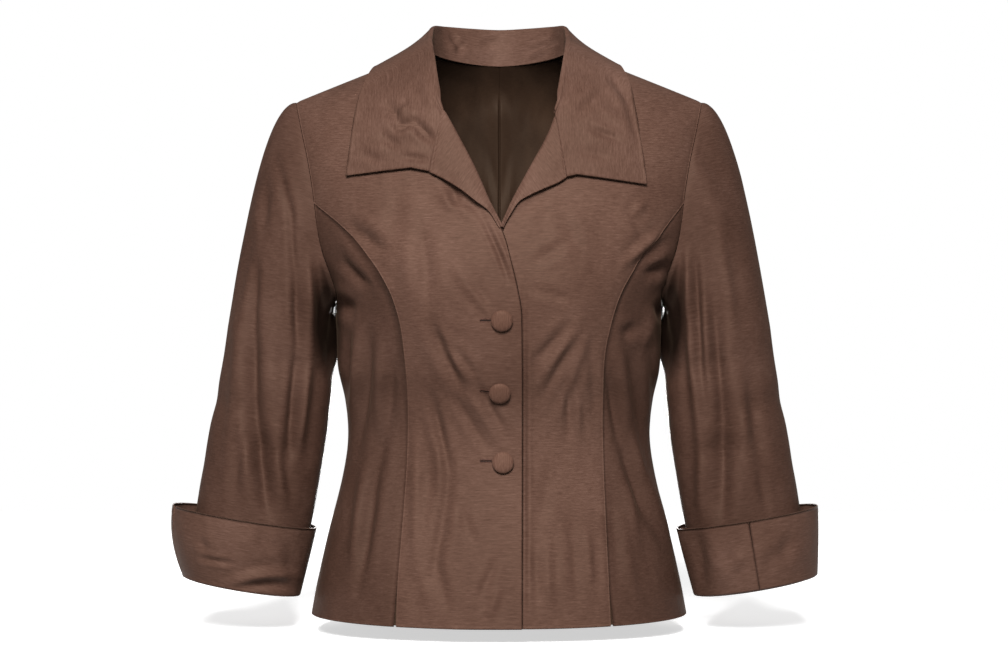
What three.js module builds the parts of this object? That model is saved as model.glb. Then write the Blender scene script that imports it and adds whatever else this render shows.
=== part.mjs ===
// A short fitted jacket with a wide collar, turned-back cuffs and three covered buttons,
// standing open and filled out as it is when worn.
// Millimetres, +Z up. The front faces -Y and +X is the wearer's left.
// The origin lies between the shoulders, at the height of the shoulder seams' outer ends.
import * as THREE from 'three';

// Cloth
const CLOTH = 1.6;
const SEAM_TRIM = 0.2;
const RIGHT = -1;
const LEFT = 1;

// Body: half width, and depth to the front and to the back, at each height
const BODY = [
  { z: 60, half: 215, front: 62, back: 78 },
  { z: 0, half: 213, front: 78, back: 91 },
  { z: -50, half: 208, front: 93, back: 101 },
  { z: -105, half: 199, front: 106, back: 107 },
  { z: -150, half: 185, front: 115, back: 108 },
  { z: -200, half: 164, front: 119, back: 104 },
  { z: -235, half: 161.8, front: 115, back: 99 },
  { z: -270, half: 160, front: 106, back: 93 },
  { z: -300, half: 153.5, front: 95, back: 87 },
  { z: -335, half: 150.5, front: 88, back: 85 },
  { z: -375, half: 156, front: 89, back: 91 },
  { z: -435, half: 171, front: 99, back: 107 },
  { z: -480, half: 181, front: 107, back: 120 },
  { z: -514, half: 187, front: 112, back: 128 },
];
const HEM = -514;
const SECTION_POWER = 0.87;
const SHOULDER = { tip: 203, tipHeight: -2.5, slope: 52 / 131, rounding: 75 };
const NECK_POINT = 72;
const NECK_BACK_HEIGHT = 43;
const NECK_CURVE = 3;
const BUST = { x: 88, z: -188, width: 48, height: 46, fullness: 7 };

// Armhole: angle round the body from the centre front, down its front and up its back
const ARMHOLE = [
  { z: -2.5, front: 70.6, back: 109.4 },
  { z: -31, front: 66.8, back: 112.5 },
  { z: -69, front: 63.6, back: 114.5 },
  { z: -106, front: 63.8, back: 115 },
  { z: -149, front: 69, back: 112 },
  { z: -180, front: 72, back: 107 },
  { z: -198, front: 76, back: 100 },
  { z: -207, front: 86, back: 86 },
];
const UNDERARM = -207;
const SIDE_SEAM = THREE.MathUtils.degToRad(86);
const PRINCESS_TOP = -106;

// Princess seam: distance from the centre on the wearer's right and left
const PRINCESS = [
  { z: -106, right: 181.5, left: 181.5 },
  { z: -131, right: 151, left: 162 },
  { z: -158, right: 127, left: 141 },
  { z: -189, right: 107, left: 121 },
  { z: -218, right: 96.5, left: 110 },
  { z: -249, right: 91.5, left: 103.5 },
  { z: -290, right: 88.5, left: 100.5 },
  { z: -346, right: 89, left: 101.5 },
  { z: -394, right: 92, left: 103 },
  { z: -470, right: 97.5, left: 106 },
  { z: -514, right: 100, left: 109 },
];
const VENT = { top: -470, opening: 1.8, curve: 1.2 };
const HEM_CURVE = { centre: -1.2, side: 2.6 };

// Inner edge of each front, measured towards that front's own side from the centre:
// the neck edge, then the line that the lapel rolls on, then the straight front edge
const FRONT_EDGE = [
  { z: 49.5, right: 72, left: 72 },
  { z: 22, right: 69, left: 69 },
  { z: -5, right: 61, left: 62 },
  { z: -40, right: 43, left: 50 },
  { z: -75, right: 25, left: 31.5 },
  { z: -107, right: 11, left: 14.5 },
  { z: -138, right: -4, left: 1 },
  { z: -165, right: -11.5, left: -9 },
  { z: -192, right: -18, left: -17 },
  { z: -217, right: -21.5, left: -21.5 },
  { z: -514, right: -22, left: -21.5 },
];
const OVERLAP = { lift: 2.9, full: 26, none: 84 };

// Rows of the fronts and backs: height at the inner and at the outer edge
const ROWS = [
  { inner: 49.5, outer: -2.5 },
  { inner: 47, outer: -5 },
  { inner: 38, outer: -14 },
  { inner: 22, outer: -28 },
  { inner: -5, outer: -52 },
  { inner: -40, outer: -78 },
  { inner: -75, outer: -106 },
  { inner: -107, outer: -131 },
  { inner: -138, outer: -158 },
  { inner: -165, outer: -185 },
  { inner: -192, outer: -207 },
  { inner: -217, outer: -235 },
  { inner: -248, outer: -262 },
  { inner: -280, outer: -290 },
  { inner: -312, outer: -318 },
  { inner: -345, outer: -348 },
  { inner: -380, outer: -382 },
  { inner: -415, outer: -416 },
  { inner: -445, outer: -445 },
  { inner: -470, outer: -470 },
  { inner: -492, outer: -492 },
  { inner: -514, outer: -514 },
];
const FRONT_COLUMNS = 10;
const SIDE_COLUMNS = 5;
const BACK_COLUMNS = 10;

// How soon the side front's rows leave the armhole's curve, and the back's rows the top edge
const SIDE_ROWS = { topCurve: 1.7, settling: 1.6 };
const BACK_ROWS = { passes: 40, settling: 4 };

// Value of a named column of a table at a height, smoothly between its rows
function column(table, name, z) {
  const last = table.length - 1;
  const at = (index) => table[THREE.MathUtils.clamp(index, 0, last)];
  if (z >= table[0].z) return table[0][name];
  if (z <= table[last].z) return table[last][name];
  const below = table.findIndex((row) => row.z <= z);
  const upper = at(below - 1);
  const lower = at(below);
  const span = lower.z - upper.z;
  const share = (z - upper.z) / span;
  const slope = (index) => {
    const before = at(index - 1);
    const after = at(index + 1);
    return (after[name] - before[name]) / (after.z - before.z);
  };
  const s2 = share * share;
  const s3 = s2 * share;
  return (2 * s3 - 3 * s2 + 1) * upper[name] + (s3 - 2 * s2 + share) * span * slope(below - 1)
    + (3 * s2 - 2 * s3) * lower[name] + (s3 - s2) * span * slope(below);
}

const mix = (a, b, share) => a + (b - a) * share;
const range = (count, from = 0, to = 1) => Array.from(
  { length: count + 1 },
  (unused, index) => mix(from, to, index / count),
);
const sideName = (side) => (side === RIGHT ? 'right' : 'left');

// Height of the shoulder seam at a distance from the centre
function shoulderHeight(x) {
  return SHOULDER.tipHeight + SHOULDER.slope * (SHOULDER.tip - Math.abs(x));
}

// Share of the full depth that the body has at a drop below the shoulder seam
function rounding(drop) {
  const share = THREE.MathUtils.clamp(drop / SHOULDER.rounding, 0, 1);
  return Math.sqrt(share * (2 - share));
}

// Point of the body's outer face at an angle from the centre front and a height
function bodyPoint(angle, z) {
  const sine = Math.sin(angle);
  const cosine = Math.cos(angle);
  const x = Math.sign(sine) * column(BODY, 'half', z) * Math.abs(sine) ** SECTION_POWER;
  const facing = cosine >= 0 ? -1 : 1;
  const depth = column(BODY, facing < 0 ? 'front' : 'back', z) * Math.abs(cosine) ** SECTION_POWER;
  let y = facing * depth * rounding(shoulderHeight(x) - z);
  if (facing < 0) {
    const across = (Math.abs(x) - BUST.x) / BUST.width;
    const down = (z - BUST.z) / BUST.height;
    y -= BUST.fullness * Math.exp(-across * across - down * down) * cosine;
  }
  return new THREE.Vector3(x, y, z);
}

// Angle from the centre front of a point of the front at a distance from the centre
function frontAngle(x, z) {
  const share = Math.min(Math.abs(x) / column(BODY, 'half', z), 1);
  return Math.sign(x) * Math.asin(share ** (1 / SECTION_POWER));
}

// Outward direction of the body there, from two short steps down and to the centre
function bodyNormal(angle, z) {
  const step = 1e-4;
  const drop = 0.02;
  const here = bodyPoint(angle, z);
  const facing = Math.cos(angle) >= 0 ? -1 : 1;
  const turn = angle >= 0 ? 1 : -1;
  const nearer = bodyPoint(angle + facing * turn * step, z).sub(here);
  const lower = bodyPoint(angle, z - drop).sub(here);
  return nearer.cross(lower).normalize().multiplyScalar(-facing * turn);
}

// A wall of cloth from a grid of outer points, each with its outward direction.
// The grid is a list of columns; a closed one joins its last column to its first.
function wall(grid, { closed = false, thickness = CLOTH } = {}) {
  const columns = grid.length;
  const rows = grid[0].length;
  const positions = [];
  for (const layer of [0, thickness]) {
    for (const line of grid) {
      for (const { point, normal } of line) {
        positions.push(...point.clone().addScaledVector(normal, -layer));
      }
    }
  }
  const count = columns * rows;
  const outer = (i, j) => (i % columns) * rows + j;
  const inner = (i, j) => outer(i, j) + count;
  const index = [];
  const quad = (a, b, c, d) => index.push(a, b, c, a, c, d);
  const spans = closed ? columns : columns - 1;
  for (let i = 0; i < spans; i += 1) {
    for (let j = 0; j < rows - 1; j += 1) {
      quad(outer(i, j), outer(i, j + 1), outer(i + 1, j + 1), outer(i + 1, j));
      quad(inner(i, j), inner(i + 1, j), inner(i + 1, j + 1), inner(i, j + 1));
    }
    quad(outer(i, 0), outer(i + 1, 0), inner(i + 1, 0), inner(i, 0));
    quad(outer(i, rows - 1), inner(i, rows - 1), inner(i + 1, rows - 1), outer(i + 1, rows - 1));
  }
  if (!closed) {
    for (let j = 0; j < rows - 1; j += 1) {
      quad(outer(0, j), inner(0, j), inner(0, j + 1), outer(0, j + 1));
      const end = columns - 1;
      quad(outer(end, j), outer(end, j + 1), inner(end, j + 1), inner(end, j));
    }
  }
  return solid(positions, index);
}

// Geometry of a closed body, with its faces turned out
function solid(positions, index) {
  const corner = (k) => new THREE.Vector3().fromArray(positions, 3 * index[k]);
  let volume = 0;
  for (let k = 0; k < index.length; k += 3) {
    volume += corner(k).dot(corner(k + 1).cross(corner(k + 2)));
  }
  if (volume < 0) index.reverse();
  const geometry = new THREE.BufferGeometry();
  geometry.setAttribute('position', new THREE.Float32BufferAttribute(positions, 3));
  geometry.setIndex(index);
  geometry.computeVertexNormals();
  return geometry;
}

// Draws the named edges of a grid back along its lines, which leaves the gap of a seam
function trim(grid, edges, distance = SEAM_TRIM) {
  const last = grid.length - 1;
  const end = grid[0].length - 1;
  const pull = (from, to) => {
    const step = to.point.clone().sub(from.point).setLength(distance);
    from.point.add(step);
  };
  if (edges.includes('first')) grid[0].forEach((item, j) => pull(item, grid[1][j]));
  if (edges.includes('last')) grid[last].forEach((item, j) => pull(item, grid[last - 1][j]));
  if (edges.includes('top')) grid.forEach((line) => pull(line[0], line[1]));
  if (edges.includes('bottom')) grid.forEach((line) => pull(line[end], line[end - 1]));
  return grid;
}

// How far down the vents a height is, from 0 at their top to 1 at the hem
function ventShare(z) {
  return THREE.MathUtils.clamp((VENT.top - z) / (VENT.top - HEM), 0, 1);
}

// How far a vent's edge stands back from its seam at a height
function ventOpening(z) {
  return VENT.opening * ventShare(z) ** VENT.curve;
}

// Outer point and direction of the body, moved out by a distance
function clothPoint(angle, z, lift = 0) {
  const normal = bodyNormal(angle, z);
  const point = bodyPoint(angle, z).addScaledVector(normal, lift);
  point.z += ventShare(z) * mix(HEM_CURVE.centre, HEM_CURVE.side, Math.sin(angle) ** 2);
  return { point, normal };
}

// How far the wearer's right front stands out where it laps over the left one
function lapLift(side, x) {
  if (side === LEFT) return 0;
  const share = THREE.MathUtils.smoothstep(-x, OVERLAP.full, OVERLAP.none);
  return OVERLAP.lift * (1 - share);
}

// A front, from its edge and roll line to the armhole and the princess seam
function frontGrid(side) {
  const name = sideName(side);
  const grid = [];
  for (let i = 0; i <= FRONT_COLUMNS; i += 1) {
    const across = i / FRONT_COLUMNS;
    grid.push(ROWS.map((row) => {
      const innerX = column(FRONT_EDGE, name, row.inner);
      const outerX = row.outer > PRINCESS_TOP
        ? Math.abs(bodyPoint(THREE.MathUtils.degToRad(column(ARMHOLE, 'front', row.outer)), row.outer).x)
        : column(PRINCESS, name, row.outer) - ventOpening(row.outer);
      const x = side * mix(innerX, outerX, across);
      const z = row === ROWS[0] ? shoulderHeight(x) : mix(row.inner, row.outer, across);
      return clothPoint(frontAngle(x, z), z, lapLift(side, x));
    }));
  }
  return trim(grid, ['last', 'top']);
}

// A side front, from the princess seam to the side seam, below the armhole
function sideGrid(side) {
  const name = sideName(side);
  const seamAngle = (z) => Math.abs(frontAngle(column(PRINCESS, name, z) + ventOpening(z), z));
  const heights = ROWS.filter((row) => row.outer <= PRINCESS_TOP).map((row) => row.outer);
  const grid = [];
  for (let i = 0; i <= SIDE_COLUMNS; i += 1) {
    const across = i / SIDE_COLUMNS;
    const top = mix(PRINCESS_TOP, UNDERARM, 1 - (1 - across) ** SIDE_ROWS.topCurve);
    const topAngle = THREE.MathUtils.degToRad(column(ARMHOLE, 'front', top));
    const topShare = Math.max(0, (topAngle - seamAngle(top)) / (SIDE_SEAM - seamAngle(top)));
    grid.push(heights.map((height) => {
      const down = (PRINCESS_TOP - height) / (PRINCESS_TOP - HEM);
      const z = mix(top, HEM, down);
      const share = mix(topShare, across, Math.min(1, down * SIDE_ROWS.settling));
      return clothPoint(side * mix(seamAngle(z), SIDE_SEAM, share), z);
    }));
  }
  return trim(grid, ['first', 'last', 'top']);
}

// Height of the back's top edge at an angle: the neck edge, then the shoulder seam
function backTop(angle) {
  let z = NECK_BACK_HEIGHT;
  for (let pass = 0; pass < BACK_ROWS.passes; pass += 1) {
    const x = Math.abs(column(BODY, 'half', z) * Math.abs(Math.sin(angle)) ** SECTION_POWER);
    const neck = mix(NECK_BACK_HEIGHT, shoulderHeight(NECK_POINT), (x / NECK_POINT) ** NECK_CURVE);
    z = x < NECK_POINT ? neck : shoulderHeight(x);
  }
  return z;
}

// Angle and height of a point of a half back: across it 0 to 1, and on a row
function backPlace(across, j) {
  const tip = THREE.MathUtils.degToRad(ARMHOLE[0].back);
  const row = ROWS[j];
  const outer = row.outer > UNDERARM
    ? THREE.MathUtils.degToRad(column(ARMHOLE, 'back', row.outer)) : SIDE_SEAM;
  const top = backTop(mix(Math.PI, tip, across));
  const settled = (1 - j / (ROWS.length - 1)) ** BACK_ROWS.settling;
  const raised = (top - mix(ROWS[0].inner, ROWS[0].outer, across)) * settled;
  return { angle: mix(Math.PI, outer, across), z: mix(row.inner, row.outer, across) + raised };
}

// A half of the back, from the centre back seam to the armhole and the side seam
function backGrid(side) {
  const grid = range(BACK_COLUMNS).map((across) => ROWS.map((row, j) => {
    const { angle, z } = backPlace(across, j);
    return clothPoint(side * angle, z);
  }));
  return trim(grid, ['first', 'last', 'top']);
}

// The back's lining, just inside both halves of the back, short of the hem
const LINING = { inset: 2.4, armholeInset: 6.5, thickness: 1, hemRows: 1 };
function liningGrid() {
  const shares = range(BACK_COLUMNS / 2, -1, 0).concat(range(BACK_COLUMNS / 2).slice(1));
  const rows = ROWS.slice(0, ROWS.length - LINING.hemRows);
  const grid = shares.map((share) => rows.map((row, j) => {
    const { angle, z } = backPlace(Math.abs(share), j);
    const inset = mix(LINING.inset, LINING.armholeInset, share * share);
    return clothPoint((share < 0 ? RIGHT : LEFT) * angle, z, -inset);
  }));
  return trim(grid, ['first', 'last', 'top'], 2 * SEAM_TRIM);
}

// Sleeve: its axis, half width and half depth down to the fold of the cuff
const SLEEVE = [
  { z: -235, centre: 217.5, forward: 0, half: 54.1, depth: 47 },
  { z: -270, centre: 221, forward: -1, half: 56, depth: 46 },
  { z: -330, centre: 231, forward: -2, half: 58, depth: 45 },
  { z: -390, centre: 241, forward: -4, half: 58.2, depth: 44 },
  { z: -440, centre: 249.5, forward: -6, half: 57, depth: 44 },
  { z: -485, centre: 257, forward: -8, half: 55.5, depth: 43 },
];
const SLEEVE_SHIFT = { right: -0.8, left: -2.4, reach: 90 };
const SLEEVE_TILT = THREE.MathUtils.degToRad(9.5);
const SLEEVE_AROUND = 20;
const TUBE_ROWS = 9;

// Crown of a sleeve: its gap at the armhole and its rows, how far it runs straight out of
// the armhole and straight into the tube, each as a share of its reach with more on the
// outer side, and how far it runs out whatever its reach
const CROWN = {
  gap: 0.7, rows: 6, rowCurve: 1.4, leanDown: 0.1,
  out: 0.09, outerOut: 0.03, leastOut: 1.6, up: 0.45, outerUp: 0.05,
};

// Folds of the sleeves: height, angle round the sleeve from its outer side, size and depth
const SLEEVE_FOLDS = [
  { z: -205, around: 65, high: 16, wide: 40, depth: 3.2 },
  { z: -262, around: 120, high: 13, wide: 45, depth: 3.4 },
  { z: -310, around: 40, high: 14, wide: 50, depth: 2.6 },
  { z: -345, around: 105, high: 12, wide: 40, depth: 3 },
  { z: -300, around: 250, high: 14, wide: 55, depth: 3 },
  { z: -372, around: 300, high: 15, wide: 50, depth: 2.6 },
];

// Point of the armhole: 0 at the shoulder tip, down the front, 0.5 under the arm, up the back
function armholePoint(side, share) {
  const face = share <= 0.5 ? 'front' : 'back';
  const down = share <= 0.5 ? share * 2 : (1 - share) * 2;
  const z = mix(ARMHOLE[0].z, UNDERARM, Math.sin(down * Math.PI / 2) ** 2);
  return bodyPoint(side * THREE.MathUtils.degToRad(column(ARMHOLE, face, z)), z);
}

const FULL_TURN = 360;

// How deep the sleeve's folds are at a height and an angle in degrees
function sleeveFold(z, around) {
  return SLEEVE_FOLDS.reduce((sum, fold) => {
    const apart = Math.abs(around - fold.around) % FULL_TURN;
    const turn = Math.min(apart, FULL_TURN - apart);
    const down = (z - fold.z) / fold.high;
    return sum + fold.depth * Math.exp(-down * down - (turn / fold.wide) ** 2);
  }, 0);
}

// Point of the sleeve's tube at a height of its axis and an angle from its outer side
function tubePoint(side, height, angle, ease = 0) {
  const fold = sleeveFold(height, THREE.MathUtils.radToDeg(angle));
  const half = column(SLEEVE, 'half', height) + ease - fold;
  const depth = column(SLEEVE, 'depth', height) + ease - fold;
  const across = half * Math.cos(angle);
  const down = THREE.MathUtils.clamp((SLEEVE[0].z - height) / SLEEVE_SHIFT.reach, 0, 1);
  const centre = column(SLEEVE, 'centre', height) + SLEEVE_SHIFT[sideName(side)] * down;
  return new THREE.Vector3(
    side * (centre + across * Math.cos(SLEEVE_TILT)),
    column(SLEEVE, 'forward', height) - depth * Math.sin(angle),
    height + across * Math.sin(SLEEVE_TILT),
  );
}

// Outer point of a sleeve: along 0 to 1 is the crown, 1 to 2 the tube down to the cuff
function sleevePoint(side, around, along) {
  const angle = around * 2 * Math.PI;
  const top = SLEEVE[0].z;
  if (along >= 1) {
    return tubePoint(side, mix(top, SLEEVE[SLEEVE.length - 1].z, along - 1), angle);
  }
  const end = tubePoint(side, top, angle);
  const out = new THREE.Vector3(side, 0, 0);
  const start = armholePoint(side, around).addScaledVector(out, CROWN.gap);
  const reach = start.distanceTo(end);
  const up = new THREE.Vector3(-side * Math.sin(SLEEVE_TILT), 0, Math.cos(SLEEVE_TILT));
  const outer = Math.max(0, Math.cos(angle));
  const away = new THREE.Vector3(side, 0, -CROWN.leanDown * outer);
  const outRun = (CROWN.out + CROWN.outerOut * outer) * reach + CROWN.leastOut;
  const first = start.clone().addScaledVector(away, outRun);
  const second = end.clone().addScaledVector(up, (CROWN.up + CROWN.outerUp * outer) * reach);
  return new THREE.CubicBezierCurve3(start, first, second, end).getPoint(along);
}

// Outward directions of a surface, from the differences of its point function
function surfaceGrid(point, acrossValues, alongValues, step = 2e-3) {
  return acrossValues.map((across) => alongValues.map((along) => {
    const ahead = point(across + step, along).sub(point(across - step, along));
    const below = point(across, along + step).sub(point(across, Math.max(along - step, 0)));
    return { point: point(across, along), normal: ahead.cross(below).normalize() };
  }));
}

// A sleeve, a tube open at the armhole and at the cuff
function sleeveGrid(side) {
  const around = range(SLEEVE_AROUND).slice(0, -1);
  const crown = range(CROWN.rows).map((share) => share ** CROWN.rowCurve);
  const along = [...crown, ...range(TUBE_ROWS, 1, 2).slice(1)];
  const point = (across, down) => sleevePoint(side, (across + 1) % 1, Math.min(down, 2));
  const grid = surfaceGrid(point, around, along);
  for (const line of grid) line.forEach((item) => { if (side === RIGHT) item.normal.negate(); });
  return grid;
}

// Cuffs, turned back over the sleeve: how far each edge stands off it on the outer and the
// inner side, and the vent's angle round the sleeve from its outer side
const CUFF = {
  right: { topOuter: 24, topInner: 6, foldOuter: 3.4, foldInner: 3.2, vent: 18 },
  left: { topOuter: 18, topInner: 9.5, foldOuter: 8, foldInner: 5.5, vent: 90 },
};
const CUFF_TOP = -417;
const CUFF_FOLD = -485;
const CUFF_FOLD_STANDOFF = 2.2;
const CUFF_ROWS = [0, 0.25, 0.5, 0.75, 0.96, 1];
const CUFF_CURVE = 1.2;
const CUFF_VENT = { half: 1.9, closed: 0.5 };

// A cuff, an open ring from one edge of its vent round to the other
function cuffGrid(side) {
  const cuff = CUFF[sideName(side)];
  const around = range(SLEEVE_AROUND, cuff.vent, cuff.vent + FULL_TURN);
  const grid = around.map((degrees, i) => CUFF_ROWS.map((down) => {
    const open = 1 - THREE.MathUtils.smoothstep(down, 0, CUFF_VENT.closed);
    const edge = (i === 0 ? 1 : 0) - (i === SLEEVE_AROUND ? 1 : 0);
    const shift = edge * (SEAM_TRIM + CUFF_VENT.half * open);
    const point = (turn, share) => {
      const outward = (1 + Math.cos(turn)) / 2;
      const top = mix(cuff.topInner, cuff.topOuter, outward);
      const fold = mix(cuff.foldInner, cuff.foldOuter, outward);
      const ease = share === 1 ? CUFF_FOLD_STANDOFF : mix(top, fold, share ** CUFF_CURVE);
      return tubePoint(side, mix(CUFF_TOP, CUFF_FOLD, share), turn, ease);
    };
    const angle = THREE.MathUtils.degToRad(degrees) + shift / SLEEVE[0].half;
    const step = 0.01;
    const across = point(angle + step, down).sub(point(angle - step, down));
    const along = new THREE.Vector3(side * Math.sin(SLEEVE_TILT), 0, -Math.cos(SLEEVE_TILT));
    const normal = across.cross(along).normalize().multiplyScalar(side);
    return { point: point(angle, down), normal };
  }));
  return grid;
}

// Collar: stations from the centre back to the gorge seam. Each has a point of the stand's
// seam, of the fold, and of the fall's edge on the wearer's right and left, which lies on
// the back or on the front at a distance from the centre and a height.
const COLLAR = [
  { stand: [0, 67, 44.2], fold: [0, 72, 79], face: 'back', right: [0, 22], left: [0, 22] },
  { stand: [30, 54.6, 45.2], fold: [32, 64, 79.5], face: 'back', right: [50, 22], left: [50, 22] },
  { stand: [54.5, 35, 47.8], fold: [56, 50, 79.5], face: 'back', right: [88, 21.5], left: [88, 21.5] },
  { stand: [65, 15, 49.4], fold: [67, 26, 77], face: 'back', right: [110, 24.5], left: [108, 25] },
  { stand: [67.6, 8, 50], fold: [68.5, 14, 71.5], face: 'back', right: [119, 28.5], left: [116, 29.5] },
  { stand: [68.7, 0, 49.4], fold: [69, 2, 64.5], face: 'front', right: [122, 29.6], left: [118.5, 31] },
  { stand: [69, -15, 46.5], fold: [68.8, -10, 60], face: 'front', right: [127, 20], left: [122.5, 22] },
  { stand: [68.4, -29, 39.4], fold: [68, -22, 54], face: 'front', right: [133, 5], left: [127, 8] },
  { stand: [67, -51, 23.6], fold: [65, -46, 36], face: 'front', right: [138.5, -22], left: [132, -20] },
  { stand: [63.6, -65.5, 8], fold: [61.5, -64, 18], face: 'front', right: [142.5, -52], left: [137, -55] },
  { stand: [58.6, -74.6, -5], fold: [59, -77, 2], face: 'front', right: [146, -81.5], left: [141, -90] },
  { stand: [55.6, -77.5, -11], fold: [57.5, -81, -6], face: 'front', right: [106, -78], left: [104, -85] },
  { stand: [52.6, -80.6, -17], fold: [56, -85, -13], face: 'front', right: [63.5, -77], left: [69, -84] },
];
const COLLAR_TIP = 10;
const COLLAR_SPAN_COLUMNS = [3, 2, 2, 2, 1, 1, 2, 2, 2, 2, 1, 1];
const COLLAR_LIFT = 4.6;
const CREST = { half: 2.6, drop: 1.4 };
const FALL_SHARES = [0.3, 0.65];

// Angle round the body of a point of its front or back at a distance from the centre
function faceAngle(face, x, z) {
  const angle = frontAngle(x, z);
  return face === 'front' ? angle : Math.sign(x || 1) * Math.PI - angle;
}

// Keeps a point of the fall outside the front or the back that it lies on
function outsideBody(point, face, lift) {
  if (point.z > shoulderHeight(point.x)) return point;
  const body = clothPoint(faceAngle(face, point.x, point.z), point.z, lift).point;
  const outermost = face === 'front' ? Math.min(point.y, body.y) : Math.max(point.y, body.y);
  return new THREE.Vector3(point.x, outermost, point.z);
}

// One column of the collar: up the stand, over the fold and down the fall
function collarColumn(stand, fold, edge, face) {
  const rise = fold.clone().sub(stand).normalize();
  const out = edge.clone().sub(stand);
  out.addScaledVector(rise, -out.dot(rise)).normalize();
  const crest = (share) => fold.clone()
    .addScaledVector(out, share * CREST.half)
    .addScaledVector(rise, -CREST.drop * Math.abs(share));
  const outerCrest = crest(1);
  const fall = FALL_SHARES.map((share) => {
    const point = outerCrest.clone().lerp(edge, share);
    return outsideBody(point, face, COLLAR_LIFT);
  });
  return [stand, stand.clone().lerp(crest(-1), 0.5), crest(-1), fold, outerCrest, ...fall, edge];
}

// Guide points of the collar's half on one side, from the centre back to the gorge seam
function collarHalf(side) {
  const mirror = ([x, y, z]) => new THREE.Vector3(side * x, y, z);
  const edgePoint = (station) => {
    const [x, z] = station[sideName(side)];
    return clothPoint(faceAngle(station.face, side * x, z), z, COLLAR_LIFT).point;
  };
  const curve = (points) => new THREE.CatmullRomCurve3(points, false, 'centripetal');
  const stands = curve(COLLAR.map((station) => mirror(station.stand)));
  const folds = curve(COLLAR.map((station) => mirror(station.fold)));
  const edges = COLLAR.map(edgePoint);
  const outerEdge = curve(edges.slice(0, COLLAR_TIP + 1));
  const spans = COLLAR.length - 1;
  const columns = [];
  COLLAR_SPAN_COLUMNS.forEach((count, span) => {
    for (let k = 0; k < count; k += 1) columns.push(span + k / count);
  });
  columns.push(spans);
  return columns.map((at) => {
    const lower = Math.min(Math.floor(at), spans - 1);
    const edge = at <= COLLAR_TIP
      ? outerEdge.getPoint(at / COLLAR_TIP) : edges[lower].clone().lerp(edges[lower + 1], at - lower);
    const { face } = COLLAR[Math.round(at)];
    return collarColumn(stands.getPoint(at / spans), folds.getPoint(at / spans), edge, face);
  });
}

// Adds to each point of a grid its outward direction, from the points beside it
function withNormals(points, sign) {
  const at = (list, index) => list[THREE.MathUtils.clamp(index, 0, list.length - 1)];
  return points.map((line, i) => line.map((point, j) => {
    const across = at(at(points, i + 1), j).clone().sub(at(at(points, i - 1), j));
    const along = at(line, j + 1).clone().sub(at(line, j - 1));
    return { point: point.clone(), normal: across.cross(along).normalize().multiplyScalar(sign) };
  }));
}

// The collar, from the gorge seam on the wearer's right round the neck to the left one
function collarGrid() {
  const points = [...collarHalf(RIGHT).reverse(), ...collarHalf(LEFT).slice(1)];
  return withNormals(points, 1);
}

// Lapels: height on the roll line, with the outer edge's distance and height
const LAPEL = {
  right: [
    { roll: -19, x: 62, z: -78.5 },
    { roll: -47, x: 51, z: -88 },
    { roll: -76, x: 36, z: -97.5 },
    { roll: -100, x: 21, z: -110 },
    { roll: -120, x: 13, z: -131 },
    { roll: -140, x: 5, z: -150 },
    { roll: -163, x: -5.5, z: -167 },
    { roll: -188, x: -13, z: -189 },
  ],
  left: [
    { roll: -24, x: 65.5, z: -86 },
    { roll: -38, x: 59, z: -88.5 },
    { roll: -60, x: 46, z: -95 },
    { roll: -82, x: 32, z: -103 },
    { roll: -100, x: 21, z: -110 },
  ],
};
const LAPEL_LIFTS = [1.95, 4.4, 6, 5.6, 4.8];

// A lapel, turned out from the roll line over its front
function lapelGrid(side) {
  const points = LAPEL[sideName(side)].map((station) => {
    const rollX = column(FRONT_EDGE, sideName(side), station.roll);
    return LAPEL_LIFTS.map((lift, j) => {
      const share = j / (LAPEL_LIFTS.length - 1);
      const x = side * mix(rollX, station.x, share);
      const z = mix(station.roll, station.z, share);
      return clothPoint(frontAngle(x, z), z, lift + lapLift(side, x)).point;
    });
  });
  return withNormals(points, side);
}

// Buttons, covered in the cloth, down the wearer's right front
const BUTTON_SEGMENTS = 18;
const BUTTON_PROFILE = [
  { radius: 0, height: 0 },
  { radius: 7, height: 0 },
  { radius: 10.5, height: 1.6 },
  { radius: 10.5, height: 2.6 },
  { radius: 8.9, height: 4.2 },
  { radius: 5.5, height: 5 },
  { radius: 0, height: 5.2 },
];
const BUTTONS = [{ x: 3, z: -221, gap: 0.5 }, { x: 1, z: -289, gap: 1.2 }, { x: 4, z: -358, gap: 0.8 }];

function buttonGeometry() {
  const profile = BUTTON_PROFILE.map(({ radius, height }) => new THREE.Vector2(radius, height));
  return new THREE.LatheGeometry(profile, BUTTON_SEGMENTS);
}

function addButton(group, place, number) {
  const seat = clothPoint(frontAngle(place.x, place.z), place.z, OVERLAP.lift + place.gap);
  const mesh = piece(`button_${number}`, buttonGeometry(), PIECE_COLOURS.button);
  mesh.quaternion.setFromUnitVectors(new THREE.Vector3(0, 1, 0), seat.normal);
  mesh.position.copy(seat.point);
  group.add(mesh);
}

const PIECE_COLOURS = {
  front: 0x5a3a2e, side: 0x4a2f26, back: 0x52352a, sleeve: 0x614133, cuff: 0x6b4a3a,
  collar: 0x75523f, lapel: 0x6e4c3b, lining: 0x2c1a16, button: 0x7a5844,
};

// A named piece with its own material
function piece(name, geometry, colour) {
  const material = new THREE.MeshStandardMaterial({ color: colour, roughness: 0.55, metalness: 0 });
  const mesh = new THREE.Mesh(geometry, material);
  mesh.name = name;
  return mesh;
}

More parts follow.
